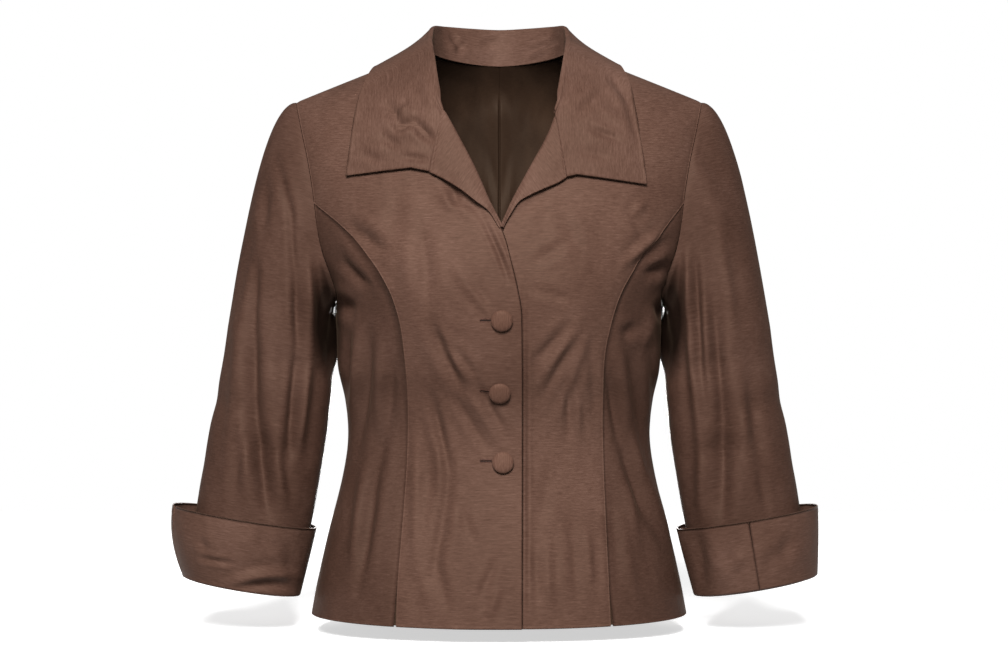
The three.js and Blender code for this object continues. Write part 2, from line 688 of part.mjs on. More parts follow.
const jacket = new THREE.Group();
for (const side of [RIGHT, LEFT]) {
  const name = sideName(side);
  jacket.add(piece(`front_${name}`, wall(frontGrid(side)), PIECE_COLOURS.front));
  jacket.add(piece(`side_front_${name}`, wall(sideGrid(side)), PIECE_COLOURS.side));
  jacket.add(piece(`back_${name}`, wall(backGrid(side)), PIECE_COLOURS.back));
  jacket.add(piece(`sleeve_${name}`, wall(sleeveGrid(side), { closed: true }), PIECE_COLOURS.sleeve));
  jacket.add(piece(`cuff_${name}`, wall(cuffGrid(side)), PIECE_COLOURS.cuff));
  jacket.add(piece(`lapel_${name}`, wall(lapelGrid(side)), PIECE_COLOURS.lapel));
}
jacket.add(piece('collar', wall(collarGrid()), PIECE_COLOURS.collar));
jacket.add(piece('back_lining', wall(liningGrid(), { thickness: LINING.thickness }), PIECE_COLOURS.lining));
BUTTONS.forEach((place, index) => addButton(jacket, place, index + 1));

export default jacket;
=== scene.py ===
"""A short fitted silk jacket: its cloth, seams, buttons and lining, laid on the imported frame.

Sizes are millimetres until a mesh is made. The front faces -Y and +X is the wearer's left.
"""

import logging
import math
from collections.abc import Sequence
from dataclasses import dataclass, field
from enum import Enum

import bpy
import numpy as np
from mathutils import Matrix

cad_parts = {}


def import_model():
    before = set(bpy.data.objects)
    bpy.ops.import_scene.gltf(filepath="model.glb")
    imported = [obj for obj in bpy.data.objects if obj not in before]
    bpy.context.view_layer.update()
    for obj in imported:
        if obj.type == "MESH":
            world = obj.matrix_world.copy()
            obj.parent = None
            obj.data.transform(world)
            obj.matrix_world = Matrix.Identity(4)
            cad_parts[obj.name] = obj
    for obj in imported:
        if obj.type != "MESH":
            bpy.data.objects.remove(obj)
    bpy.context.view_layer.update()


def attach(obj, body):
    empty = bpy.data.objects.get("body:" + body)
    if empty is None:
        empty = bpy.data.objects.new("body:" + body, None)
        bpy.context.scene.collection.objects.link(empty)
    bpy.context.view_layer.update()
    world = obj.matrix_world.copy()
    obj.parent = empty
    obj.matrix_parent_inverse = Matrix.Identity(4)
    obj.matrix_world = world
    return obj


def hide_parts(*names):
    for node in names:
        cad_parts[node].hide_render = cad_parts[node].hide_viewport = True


Array = np.ndarray
Colour = tuple[float, float, float]
LOG = logging.getLogger("jacket")
METRE = 0.001
CAMERA = (5, -2380, -236)
LENS = 85
SENSOR = 36
PHOTO_WIDTH = 1008
PHOTO_CENTRE = (504, 336)
DRAWN_ENDS = 1.15
FRONT_Y = -105
COLLAR_Y = -90
CUFF_Y = -62
SLEEVE_Y = -45
STAND_Y = 55
LINING_Y = 95


class Side(Enum):
    """The wearer's own side; the value is the sign of X."""

    RIGHT = -1
    LEFT = 1

    @property
    def word(self) -> str:
        """The side as it stands in node names."""
        return self.name.lower()


class Face(Enum):
    """The side of the jacket that a crease lies on; the value is the sign of Y."""

    FRONT = -1
    BACK = 1


class Edge(Enum):
    """An edge of a grid of cloth: a side or an end of its columns."""

    FIRST = "first"
    LAST = "last"
    TOP = "top"
    BOTTOM = "bottom"


class Rows:
    """A short table of sizes against a height, read smoothly between its rows."""

    def __init__(self, names: str, *rows: tuple[float, ...]) -> None:
        """Keeps the columns by name.

        Args:
            names: The columns' names, the first one for the height.
            rows: The rows, from the highest to the lowest.
        """
        self.columns = dict(zip(names.split(), np.array(rows, float).T))
        self.heights = self.columns[names.split()[0]]

    def at(self, name: str, height: Array | float) -> Array:
        """Reads a column at a height, smoothly.

        Args:
            name: The column's name.
            height: One height or an array of them.

        Returns:
            The values, in the height's own shape.
        """
        values = self.columns[name]
        heights = self.heights
        last = len(heights) - 1
        after = np.minimum(np.arange(last + 1) + 1, last)
        before = np.maximum(np.arange(last + 1) - 1, 0)
        slopes = (values[after] - values[before]) / (heights[after] - heights[before])
        place = np.clip(height, heights[-1], heights[0])
        lower = np.clip(np.searchsorted(-heights, -place), 1, last)
        upper = lower - 1
        span = heights[lower] - heights[upper]
        t = (place - heights[upper]) / span
        start = (2 * t**3 - 3 * t**2 + 1) * values[upper] + (t**3 - 2 * t**2 + t) * span * slopes[upper]
        end = (3 * t**2 - 2 * t**3) * values[lower] + (t**3 - t**2) * span * slopes[lower]
        return start + end


def mix(start: Array | float, end: Array | float, share: Array | float) -> Array:
    """The value a share of the way from start to end."""
    return start + (end - start) * share


def smooth(value: Array | float, low: float, high: float) -> Array:
    """A soft step from 0 at low to 1 at high."""
    share = np.clip((value - low) / (high - low), 0, 1)
    return share * share * (3 - 2 * share)


def unit(vectors: Array) -> Array:
    """The vectors at a length of one."""
    return vectors / np.maximum(np.linalg.norm(vectors, axis=-1, keepdims=True), 1e-9)


def between(knots: Sequence[float], pieces: Sequence[int]) -> Array:
    """Even steps from each knot to the next one, with the last knot at the end."""
    parts = [np.linspace(a, b, n, endpoint=False) for a, b, n in zip(knots, knots[1:], pieces)]
    return np.append(np.concatenate(parts), knots[-1])


def through(points: Array, places: Array) -> Array:
    """Points on a smooth centripetal curve through a line of points.

    Args:
        points: The points that the curve goes through, one a row.
        places: Where on the curve, counted in points from its start.

    Returns:
        The curve's points, one for each place.
    """
    ends = np.vstack([2 * points[0] - points[1], points, 2 * points[-1] - points[-2]])
    span = np.clip(np.floor(places).astype(int), 0, len(points) - 2)
    share = (places - span)[:, None]
    p0, p1, p2, p3 = (ends[span + k] for k in range(4))
    gaps = [np.maximum(np.linalg.norm(b - a, axis=1, keepdims=True), 1e-4) ** 0.5
            for a, b in ((p0, p1), (p1, p2), (p2, p3))]
    first = ((p1 - p0) / gaps[0] - (p2 - p0) / (gaps[0] + gaps[1]) + (p2 - p1) / gaps[1]) * gaps[1]
    second = ((p2 - p1) / gaps[1] - (p3 - p1) / (gaps[1] + gaps[2]) + (p3 - p2) / gaps[2]) * gaps[1]
    s2, s3 = share**2, share**3
    return ((2 * s3 - 3 * s2 + 1) * p1 + (s3 - 2 * s2 + share) * first
            + (3 * s2 - 2 * s3) * p2 + (s3 - s2) * second)


HEM = -514.0
UNDERARM = -207.0
PRINCESS_TOP = -106.0
SIDE_SEAM = math.radians(86)

BODY = Rows(
    "z half front back",
    (60, 215, 62, 78), (0, 213, 78, 91), (-50, 208, 93, 101), (-105, 199, 106, 107),
    (-150, 185, 115, 108), (-200, 164, 119, 104), (-235, 161.8, 115, 99), (-270, 160, 106, 93),
    (-300, 153.5, 95, 87), (-335, 150.5, 88, 85), (-375, 156, 89, 91), (-435, 171, 99, 107),
    (-480, 181, 107, 120), (-514, 187, 112, 128),
)
ARMHOLE = Rows(
    "z front back",
    (-2.5, 70.6, 109.4), (-31, 66.8, 112.5), (-69, 63.6, 114.5), (-106, 63.8, 115),
    (-149, 69, 112), (-180, 72, 107), (-198, 76, 100), (-207, 86, 86),
)
PRINCESS = Rows(
    "z right left",
    (-106, 181.5, 181.5), (-131, 151, 162), (-158, 127, 141), (-189, 107, 121),
    (-218, 96.5, 110), (-249, 91.5, 103.5), (-290, 88.5, 100.5), (-346, 89, 101.5),
    (-394, 92, 103), (-470, 97.5, 106), (-514, 100, 109),
)
FRONT_EDGE = Rows(
    "z right left",
    (49.5, 72, 72), (22, 69, 69), (-5, 61, 62), (-40, 43, 50), (-75, 25, 31.5),
    (-107, 11, 14.5), (-138, -4, 1), (-165, -11.5, -9), (-192, -18, -17),
    (-217, -21.5, -21.5), (-514, -22, -21.5),
)
ROW_HEIGHTS = np.array([
    (49.5, -2.5), (47, -5), (38, -14), (22, -28), (-5, -52), (-40, -78), (-75, -106),
    (-107, -131), (-138, -158), (-165, -185), (-192, -207), (-217, -235), (-248, -262),
    (-280, -290), (-312, -318), (-345, -348), (-380, -382), (-415, -416), (-445, -445),
    (-470, -470), (-492, -492), (-514, -514),
])
ROW_LAST = len(ROW_HEIGHTS) - 1
SEAM_GAP = 0.012
CUFF_GAP = 0.06
CLOTH = 1.6
RIM_BULGE = 0.42


def row_height(name: str, row: Array | float) -> Array:
    """The height of the rows' inner or outer end at a place between rows."""
    ends = ROW_HEIGHTS[:, 0 if name == "inner" else 1]
    return np.interp(row, np.arange(ROW_LAST + 1), ends)


def row_steps(step: float) -> Array:
    """Places between the rows at about a step's distance, close together at the shoulder.

    Args:
        step: The distance between places, about.

    Returns:
        The places, from 0 at the top.
    """
    drops = -np.diff(ROW_HEIGHTS.mean(axis=1))
    places = [np.linspace(k, k + 1, max(1, round(drop / step)), endpoint=False)
              for k, drop in enumerate(drops)]
    places[0] = np.linspace(0, 1, 7, endpoint=False) ** 2
    return np.append(np.concatenate(places), ROW_LAST)


@dataclass(frozen=True)
class BodyForm:
    """The body that the fronts and backs follow, and what they share with the collar."""

    section_power: float = 0.87
    tip: float = 203
    tip_height: float = -2.5
    slope: float = 52 / 131
    shoulder_rounding: float = 75
    bust: tuple[float, float] = (88, -188)
    bust_size: tuple[float, float] = (48, 46)
    bust_fullness: float = 7
    vent_top: float = -470
    vent_opening: float = 1.2
    vent_curve: float = 1.2
    hem_centre: float = -1.2
    hem_side: float = 2.6
    lap_lift: float = 2.9
    lap_full: float = 26
    lap_none: float = 84

    def shoulder_height(self, x: Array) -> Array:
        """The shoulder seam's height at a distance from the centre."""
        return self.tip_height + self.slope * (self.tip - np.abs(x))

    def point(self, angle: Array, z: Array) -> Array:
        """The body's outer face at an angle from the centre front and a height.

        Args:
            angle: The angle from the centre front.
            z: The height.

        Returns:
            The points.
        """
        sine, cosine = np.sin(angle), np.cos(angle)
        x = np.sign(sine) * BODY.at("half", z) * np.abs(sine) ** self.section_power
        depth = np.where(cosine >= 0, -BODY.at("front", z), BODY.at("back", z))
        drop = np.clip((self.shoulder_height(x) - z) / self.shoulder_rounding, 0, 1)
        y = depth * np.abs(cosine) ** self.section_power * np.sqrt(drop * (2 - drop))
        across = (np.abs(x) - self.bust[0]) / self.bust_size[0]
        down = (z - self.bust[1]) / self.bust_size[1]
        y = y - self.bust_fullness * np.exp(-across**2 - down**2) * np.maximum(cosine, 0)
        return np.stack(np.broadcast_arrays(x, y, z), axis=-1)

    def front_angle(self, x: Array, z: Array) -> Array:
        """The angle of a point of the front at a distance from the centre and a height."""
        share = np.minimum(np.abs(x) / BODY.at("half", z), 1)
        return np.sign(x) * np.arcsin(share ** (1 / self.section_power))

    def normal(self, angle: Array, z: Array) -> Array:
        """The body's outward direction at an angle and a height.

        Args:
            angle: The angle from the centre front.
            z: The height.

        Returns:
            The directions.
        """
        step, drop = 1e-4, 0.02
        here = self.point(angle, z)
        facing = np.where(np.cos(angle) >= 0, -1, 1)
        turn = np.where(angle >= 0, 1, -1)
        nearer = self.point(angle + facing * turn * step, z) - here
        lower = self.point(angle, z - drop) - here
        return unit(np.cross(nearer, lower)) * (-facing * turn)[..., None]

    def vent_share(self, z: Array) -> Array:
        """How far down the vents a height is, from 0 at their top to 1 at the hem."""
        return np.clip((self.vent_top - z) / (self.vent_top - HEM), 0, 1)

    def vent_gap(self, z: Array) -> Array:
        """How far a vent's edge stands back from its seam at a height."""
        return self.vent_opening * self.vent_share(z) ** self.vent_curve

    def cloth(self, angle: Array, z: Array, lift: Array | float = 0) -> tuple[Array, Array]:
        """A point of the cloth and its outward direction.

        Args:
            angle: The angle from the centre front.
            z: The height.
            lift: How far the cloth stands off the body.

        Returns:
            The points and their directions.
        """
        angle, z, lift = np.broadcast_arrays(np.asarray(angle, float), z, lift)
        normals = self.normal(angle, z)
        points = self.point(angle, z) + normals * lift[..., None]
        points[..., 2] += self.vent_share(z) * mix(self.hem_centre, self.hem_side, np.sin(angle) ** 2)
        return points, normals

    def lap(self, side: Side, x: Array) -> Array:
        """How far the wearer's right front stands out where it laps over the left one.

        Args:
            side: The wearer's side.
            x: The distance from the centre, to the wearer's left.

        Returns:
            The distances.
        """
        if side is Side.LEFT:
            return np.zeros_like(x)
        return self.lap_lift * (1 - smooth(-x, self.lap_full, self.lap_none))


FORM = BodyForm()


@dataclass(frozen=True)
class Crease:
    """A soft trough in the cloth, with low ridges beside it; a negative depth is a ridge.

    It is placed as it is seen from the front or the back, by its middle, its length, its
    turn in degrees from level, its depth and half width, and how far its middle bows.
    """

    x: float
    z: float
    length: float
    turn: float
    depth: float
    width: float
    bow: float = 0
    face: Face = Face.FRONT

    def relief(self, points: Array, normals: Array) -> Array:
        """How far the crease moves each point outwards.

        Args:
            points: The cloth's points.
            normals: Their outward directions.

        Returns:
            The distances, negative in the trough.
        """
        turn = math.radians(self.turn)
        dx, dz = points[..., 0] - self.x, points[..., 2] - self.z
        along = (dx * math.cos(turn) + dz * math.sin(turn)) / (self.length / 2)
        across = (dz * math.cos(turn) - dx * math.sin(turn)) / self.width
        across = across + self.bow / self.width * (np.clip(along, -1, 1) ** 2 - 0.5)
        taper = np.clip(1 - along**2, 0, 1) ** 1.5
        section = np.exp(-across**2) - 0.38 * np.exp(-((np.abs(across) - 2) / 1.1) ** 2)
        facing = np.clip(normals[..., 1] * self.face.value * 4, 0, 1)
        return -self.depth * taper * section * facing


@dataclass(frozen=True)
class Strength:
    """How much deeper creases are laid than they are drawn, the main ones and the faint ones."""

    main: float = 1
    faint: float = 1
    main_from: float = 0
    most: float = 99

    def of(self, depth: float) -> float:
        """A drawn depth as it is laid."""
        factor = self.main if abs(depth) >= self.main_from else self.faint
        return math.copysign(min(abs(depth) * factor, self.most), depth)


PLAIN = Strength()


def creases(face: Face, strength: Strength, *rows: tuple[float, ...]) -> tuple[Crease, ...]:
    """Creases from rows of x, z, length, turn, depth, width and, where it bows, bow."""
    return tuple(Crease(*row[:4], strength.of(row[4]), *row[5:], face=face) for row in rows)


def drawn(away: float, strength: Strength, *rows: tuple[float, ...],
          face: Face = Face.FRONT) -> tuple[Crease, ...]:
    """Creases drawn over the photo.

    Args:
        away: The Y of the cloth that they lie on.
        strength: How deep they are laid.
        rows: In pixels of the photo, the X and Y where each starts and ends; then, in
            millimetres, its depth, width and, where it bows, bow.
        face: The side of the jacket that they lie on.

    Returns:
        The creases.
    """
    pixels = PHOTO_WIDTH * LENS / SENSOR / (away - CAMERA[1])
    laid = []
    for x0, y0, x1, y1, depth, width, *bow in rows:
        x = CAMERA[0] + ((x0 + x1) / 2 - PHOTO_CENTRE[0]) / pixels
        z = CAMERA[2] - ((y0 + y1) / 2 - PHOTO_CENTRE[1]) / pixels
        length = math.hypot(x1 - x0, y1 - y0) / pixels * DRAWN_ENDS
        turn = math.degrees(math.atan2(y0 - y1, x1 - x0))
        laid.append(Crease(x, z, length, turn, strength.of(depth), width, *bow, face=face))
    return tuple(laid)


FRONT_CREASES = drawn(
    FRONT_Y, Strength(1.6, 1.3, 1.5, 6),
    (345, 222, 386, 254, 2.4, 7), (338, 238, 386, 293, -2.2, 6), (338, 260, 372, 288, 2.4, 4),
    (326, 300, 354, 310, 5, 7), (357, 313, 347, 420, -2, 5), (369, 330, 352, 462, 2.6, 5, 3),
    (380, 330, 378, 440, -2.2, 6), (392, 345, 385, 432, 2.4, 4.5), (385, 425, 358, 565, 2.6, 5.5, -4),
    (362, 470, 350, 572, -1.6, 5), (375, 490, 354, 604, 2, 5), (345, 330, 340, 400, 2, 6),
    (424, 219, 428, 322, 1.5, 7), (428, 316, 470, 402, 2.2, 6, -4), (440, 335, 480, 380, 1.3, 4),
    (438, 322, 466, 384, -1.6, 4), (430, 392, 449, 474, 2.6, 4.5), (449, 466, 428, 598, 2.8, 6, 4),
    (438, 440, 442, 522, -1.3, 5), (416, 415, 414, 588, -2, 6), (460, 383, 501, 449, -1.7, 4.5, 3),
    (471, 373, 507, 436, 1.4, 4), (452, 394, 487, 452, 1.6, 4), (470, 288, 493, 319, -1.2, 3.5),
    (452, 262, 480, 308, -1, 5), (405, 230, 412, 300, -1.2, 8), (436, 558, 448, 612, 1.5, 5),
    (422, 570, 430, 616, -1.3, 5), (478, 600, 498, 556, 1.3, 4), (500, 585, 488, 618, -1.3, 4),
    (456, 500, 476, 548, 1, 5), (400, 180, 392, 240, 1.2, 8), (556, 424, 589, 330, -1.3, 4),
    (566, 372, 569, 442, 1.5, 4, 3), (578, 390, 580, 442, -1.3, 3.5), (591, 330, 597, 424, 1.4, 4.5),
    (616, 326, 635, 446, -2.8, 6), (634, 436, 647, 486, -1.5, 5), (609, 370, 622, 448, 2.6, 4),
    (621, 436, 662, 546, 3.2, 6, -5), (655, 345, 669, 446, 2, 6), (622, 336, 640, 326, 2.4, 5),
    (656, 318, 647, 348, -2, 6), (640, 480, 676, 566, 1.6, 5), (628, 470, 641, 564, -1.5, 5),
    (611, 470, 618, 602, 1.3, 5), (623, 500, 636, 604, -1.4, 5), (620, 268, 664, 230, -1.8, 4.5),
    (636, 266, 674, 236, 2, 5), (644, 274, 674, 264, 3.6, 5.5), (625, 203, 649, 242, 1.3, 4),
    (632, 217, 648, 198, -1, 4), (528, 288, 572, 301, 1, 4.5), (532, 264, 574, 238, 1.1, 5),
    (560, 210, 585, 262, 1, 7), (534, 545, 538, 606, 1.3, 4), (548, 538, 550, 608, -1.1, 4),
    (572, 516, 577, 602, 1.4, 5), (588, 530, 591, 592, -1.3, 4), (550, 470, 540, 530, 1, 6),
    (660, 300, 672, 322, 3, 6),
) + drawn(
    FRONT_Y, PLAIN,
    (530, 366, 574, 322, 2.1, 5), (534, 388, 582, 318, -2, 5), (541, 402, 573, 343, 1.8, 4),
) + creases(
    Face.FRONT, Strength(1.6, 1.3, 1.5),
    (-35, -102, 62, -40, 3.2, 5), (-42, -105, 24, -60, 3.4, 4.5), (33, -108, 58, 36, 1.3, 5),
) + creases(
    Face.FRONT, PLAIN,
    (-4, -151, 84, -67, 2.4, 2.6, 3), (3, -156, 70, -66, -1.2, 3, 3),
)
BACK_CREASES = creases(
    Face.BACK, Strength(1.5, 1.3, 1.8),
    (-68, -128, 120, -64, 2, 9), (74, -118, 105, 60, 1.8, 9), (-96, -325, 150, -86, 2.6, 8),
    (91, -338, 160, 84, 2.4, 8), (-58, -300, 105, -99, 2, 7), (63, -308, 92, 97, 2.1, 7),
    (-38, -288, 62, 18, 1.6, 6, 4), (33, -296, 55, -14, 1.4, 6, 3), (-118, -258, 92, 112, 2.2, 7),
    (123, -266, 84, 70, 2.4, 7), (-132, -182, 68, 132, 2.6, 8), (128, -176, 74, 50, 2.4, 8),
    (-74, -442, 92, -92, 2, 8), (70, -450, 84, 88, 1.8, 8), (-112, -430, 112, -96, 2.4, 8),
    (117, -424, 120, 83, 2.2, 8), (-30, -420, 110, -93, 1.4, 8), (38, -405, 96, 86, 1.5, 7),
    (-104, -80, 70, -48, 1.6, 8), (98, -74, 78, 52, 1.7, 8), (-44, -210, 80, -75, -1.2, 8),
    (50, -220, 70, 78, -1.3, 8), (-142, -345, 104, -80, -1.8, 7), (146, -352, 96, 78, -1.7, 7),
)
LINING_CREASES = drawn(
    LINING_Y, PLAIN,
    (477, 80, 488, 114, -1, 4), (474, 128, 491, 196, -0.7, 5), (520, 143, 508, 196, -0.7, 5),
    (531, 100, 522, 140, -1.1, 4), (462, 92, 470, 130, 1.4, 4), (512, 84, 518, 120, 1.2, 5),
    (545, 90, 534, 122, 1.5, 4), (482, 150, 494, 215, 2.2, 4), (515, 150, 508, 212, 2.2, 4),
    (455, 80, 478, 92, -0.8, 3),
    face=Face.BACK,
)
SLEEVE_STRENGTH = Strength(1.9, 1.4, 2.4, 9)
SLEEVE_CREASES = drawn(
    SLEEVE_Y, SLEEVE_STRENGTH,
    (256, 256, 251, 332, 2.4, 4.5), (289, 200, 296, 292, 1.9, 3.5), (295, 280, 298, 348, 2.6, 4),
    (298, 338, 288, 462, 2.6, 4), (309, 250, 310, 352, -3, 5), (310, 344, 296, 464, -2.8, 5),
    (273, 296, 280, 508, -1.8, 7), (266, 186, 262, 232, 1.9, 4.5), (273, 152, 298, 238, 1.5, 4),
    (236, 310, 226, 484, -1.3, 6), (242, 440, 232, 500, 1.6, 5), (281, 450, 292, 505, 1.6, 4),
    (249, 225, 240, 300, 1.4, 6),
    (686, 246, 689, 322, -2.4, 4), (689, 306, 702, 454, -3, 5), (702, 436, 703, 526, -2, 5),
    (695, 258, 701, 384, 2.8, 3.5), (717, 222, 737, 348, -2, 6), (737, 338, 753, 512, -2.2, 7),
    (703, 286, 709, 404, -1.4, 4), (690, 138, 736, 196, 1.9, 8), (704, 200, 732, 224, -1.4, 6),
    (745, 370, 762, 470, 1.4, 6), (758, 470, 768, 512, 1.3, 4),
) + drawn(
    SLEEVE_Y, PLAIN,
    (251, 308, 254, 432, 9, 6.5), (253, 402, 269, 518, 11, 7.5), (714, 296, 723, 424, 7, 5.5),
    (723, 391, 721, 525, 11, 8),
) + creases(
    Face.FRONT, PLAIN,
    (-173, -196, 66, -80, 4, 6), (173, -196, 66, 80, 4, 6),
) + creases(
    Face.BACK, SLEEVE_STRENGTH,
    (-235, -302, 54, 20, 3, 7), (-228, -276, 48, -15, 2.6, 6), (-242, -330, 58, 10, 2.6, 7),
    (-246, -402, 112, -84, 3, 6), (-222, -182, 92, -98, 2.2, 6), (-262, -438, 74, -86, 2.2, 6),
    (-226, -420, 84, -80, -2, 6), (-208, -250, 70, -70, 2, 6), (-250, -230, 80, -100, -1.6, 6),
    (233, -296, 58, -22, 3, 7), (226, -270, 44, 12, 2.4, 6), (240, -326, 60, -8, 2.8, 7),
    (244, -396, 118, 82, 2.8, 6), (220, -178, 86, 97, 2.1, 6), (260, -432, 80, 84, 2.3, 6),
    (224, -414, 90, 79, -2, 6), (205, -246, 66, 72, 2.1, 6), (248, -226, 84, 98, -1.5, 6),
)
CUFF_CREASES = drawn(
    CUFF_Y, Strength(1.5, 1.4, 1.5),
    (197, 559, 235, 564, 1.7, 2.4), (226, 584, 299, 578, -2, 5, 9), (234, 592, 292, 589, 2, 5, 8),
    (262, 520, 266, 556, 1, 6), (198, 538, 206, 552, 1.2, 4), (286, 545, 291, 585, 1.3, 5),
    (792, 536, 779, 566, 1.8, 7), (743, 552, 735, 572, -1.2, 5), (724, 556, 727, 590, -1, 6),
    (765, 575, 775, 545, 1, 6), (697, 528, 703, 596, 4, 8),
) + creases(
    Face.BACK, Strength(1.5, 1.4, 1.5),
    (-262, -452, 54, -76, 1.8, 6), (-232, -462, 40, -95, 1.5, 6), (-248, -474, 62, -4, 1.4, 5, 5),
    (236, -458, 50, 78, 1.7, 6), (268, -450, 42, 96, 1.6, 6), (250, -470, 58, 6, 1.2, 5, 4),
)
COLLAR_STRENGTH = Strength(2.0, 1.92, 1.5)
COLLAR_CREASES = drawn(
    COLLAR_Y, COLLAR_STRENGTH,
    (383, 98, 404, 131, 3, 4.5), (392, 129, 418, 119, 2.4, 4), (409, 118, 434, 142, 3, 4.5),
    (379, 132, 398, 148, 1.8, 4), (399, 156, 431, 161, 1.5, 3), (359, 152, 384, 163, 1.5, 3.5),
    (424, 68, 436, 126, -1.2, 6), (398, 112, 412, 106, -1.6, 4), (590, 129, 619, 138, 1.7, 3),
    (572, 118, 608, 86, 1.3, 4.5), (627, 78, 641, 146, 1.7, 5), (612, 68, 632, 102, 1.4, 4.5),
    (578, 150, 612, 158, 0.9, 5), (600, 110, 622, 118, -1, 5),
) + drawn(
    STAND_Y, COLLAR_STRENGTH,
    (450, 35, 462, 50, 1.6, 3), (466, 42, 456, 56, 1.2, 3), (526, 54, 554, 40, 1.8, 3),
    (530, 60, 557, 47, -1.2, 3), (480, 44, 500, 40, 0.8, 4),
) + creases(
    Face.BACK, Strength(1.25, 1.2, 1.5),
    (-52, 40, 46, -70, 1.5, 5), (38, 46, 40, 76, 1.4, 5), (-12, 38, 44, -84, 1.1, 6),
    (84, 36, 40, 62, 1.6, 5), (-88, 34, 36, -58, 1.4, 5),
)


def relief_of(marks: Sequence[Crease], points: Array, normals: Array) -> Array:
    """How far creases together move each point outwards."""
    return sum((mark.relief(points, normals) for mark in marks), np.zeros(points.shape[:-1]))


@dataclass
class Surface:
    """A grid of a piece's outer points, as columns, with directions and cloth places.

    The cloth places are millimetres along the weft and the warp, for the weave.
    """

    points: Array
    normals: Array
    weave: Array
    closed: bool = False

    def edge(self, edge: Edge, inward: int = 0) -> tuple[slice | int, ...]:
        """The index of an edge's line, or of a line some steps inward of it.

        Args:
            edge: The edge.
            inward: How many lines in from the edge.

        Returns:
            The index.
        """
        return {
            Edge.FIRST: (inward, slice(None)), Edge.LAST: (-1 - inward, slice(None)),
            Edge.TOP: (slice(None), inward), Edge.BOTTOM: (slice(None), -1 - inward),
        }[edge]

    def trim(self, *edges: Edge, distance: float = SEAM_GAP) -> "Surface":
        """Draws edges back along the grid's lines, which leaves the gap of a seam.

        Args:
            edges: The edges.
            distance: How far, in millimetres.

        Returns:
            This surface.
        """
        for edge in edges:
            line = self.edge(edge)
            self.points[line] += unit(self.points[self.edge(edge, 1)] - self.points[line]) * distance
        return self

    def from_edge(self, edge: Edge) -> Array:
        """Each point's distance from an edge, measured along the grid's lines.

        Args:
            edge: The edge.

        Returns:
            The distances.
        """
        axis = 0 if edge in (Edge.FIRST, Edge.LAST) else 1
        steps = np.linalg.norm(np.diff(self.points, axis=axis), axis=-1)
        zero = np.zeros_like(np.take(steps, [0], axis=axis))
        if edge in (Edge.FIRST, Edge.TOP):
            return np.concatenate([zero, np.cumsum(steps, axis=axis)], axis=axis)
        back = np.cumsum(np.flip(steps, axis=axis), axis=axis)
        return np.flip(np.concatenate([zero, back], axis=axis), axis=axis)

    def raise_by(self, distance: Array) -> "Surface":
        """Moves the points along their directions."""
        self.points = self.points + self.normals * distance[..., None]
        return self

    def sink(self, *edges: Edge, depth: float = 0.55, width: float = 2.4) -> "Surface":
        """Turns edges down into their seams, so that a groove shows where pieces meet.

        Args:
            edges: The edges.
            depth: How far down the edges go.
            width: How far in from the edges the cloth turns.

        Returns:
            This surface.
        """
        for edge in edges:
            self.raise_by(-depth * np.exp(-((self.from_edge(edge) / width) ** 2)))
        return self

    def crease(self, marks: Sequence[Crease], held: Sequence[Edge] = ()) -> "Surface":
        """Lays creases in the cloth, fading out at the edges that a seam holds.

        Args:
            marks: The creases.
            held: The edges that stay where they are.

        Returns:
            This surface.
        """
        relief = relief_of(marks, self.points, self.normals)
        for edge in held:
            relief = relief * smooth(self.from_edge(edge), 0.5, 9)
        return self.raise_by(relief)


def grid_normals(points: Array, sign: float, closed: bool = False) -> Array:
    """The outward directions of a grid, from the points beside each one.

    Args:
        points: The grid's points.
        sign: 1, or -1 where the grid runs the other way.
        closed: Whether the columns go all the way round.

    Returns:
        The directions.
    """
    if closed:
        across = np.roll(points, -1, axis=0) - np.roll(points, 1, axis=0)
    else:
        across = np.gradient(points, axis=0)
    return unit(np.cross(across, np.gradient(points, axis=1))) * sign


def add_mesh(name: str, vertices: Array, faces: list[tuple[int, ...]]) -> bpy.types.Object:
    """Makes an object from points in millimetres, smooth over all its faces.

    Args:
        name: Its name.
        vertices: The points, one a row.
        faces: The points' numbers, face by face.

    Returns:
        The object.
    """
    mesh = bpy.data.meshes.new(name)
    mesh.from_pydata((vertices * METRE).tolist(), [], faces)
    mesh.polygons.foreach_set("use_smooth", np.ones(len(mesh.polygons), bool))
    mesh.update()
    piece = bpy.data.objects.new(name, mesh)
    bpy.context.scene.collection.objects.link(piece)
    return piece


def lay_weave(piece: bpy.types.Object, places: Array) -> None:
    """Gives each corner of a mesh its point's place in the weave, in metres.

    Args:
        piece: The mesh's object.
        places: Each point's place in the weave, in millimetres.
    """
    mesh = piece.data
    corners = np.empty(len(mesh.loops), int)
    mesh.loops.foreach_get("vertex_index", corners)
    layer = mesh.uv_layers.new(name="weave")
    layer.data.foreach_set("uv", (places[corners] * METRE).astype(np.float32).ravel())


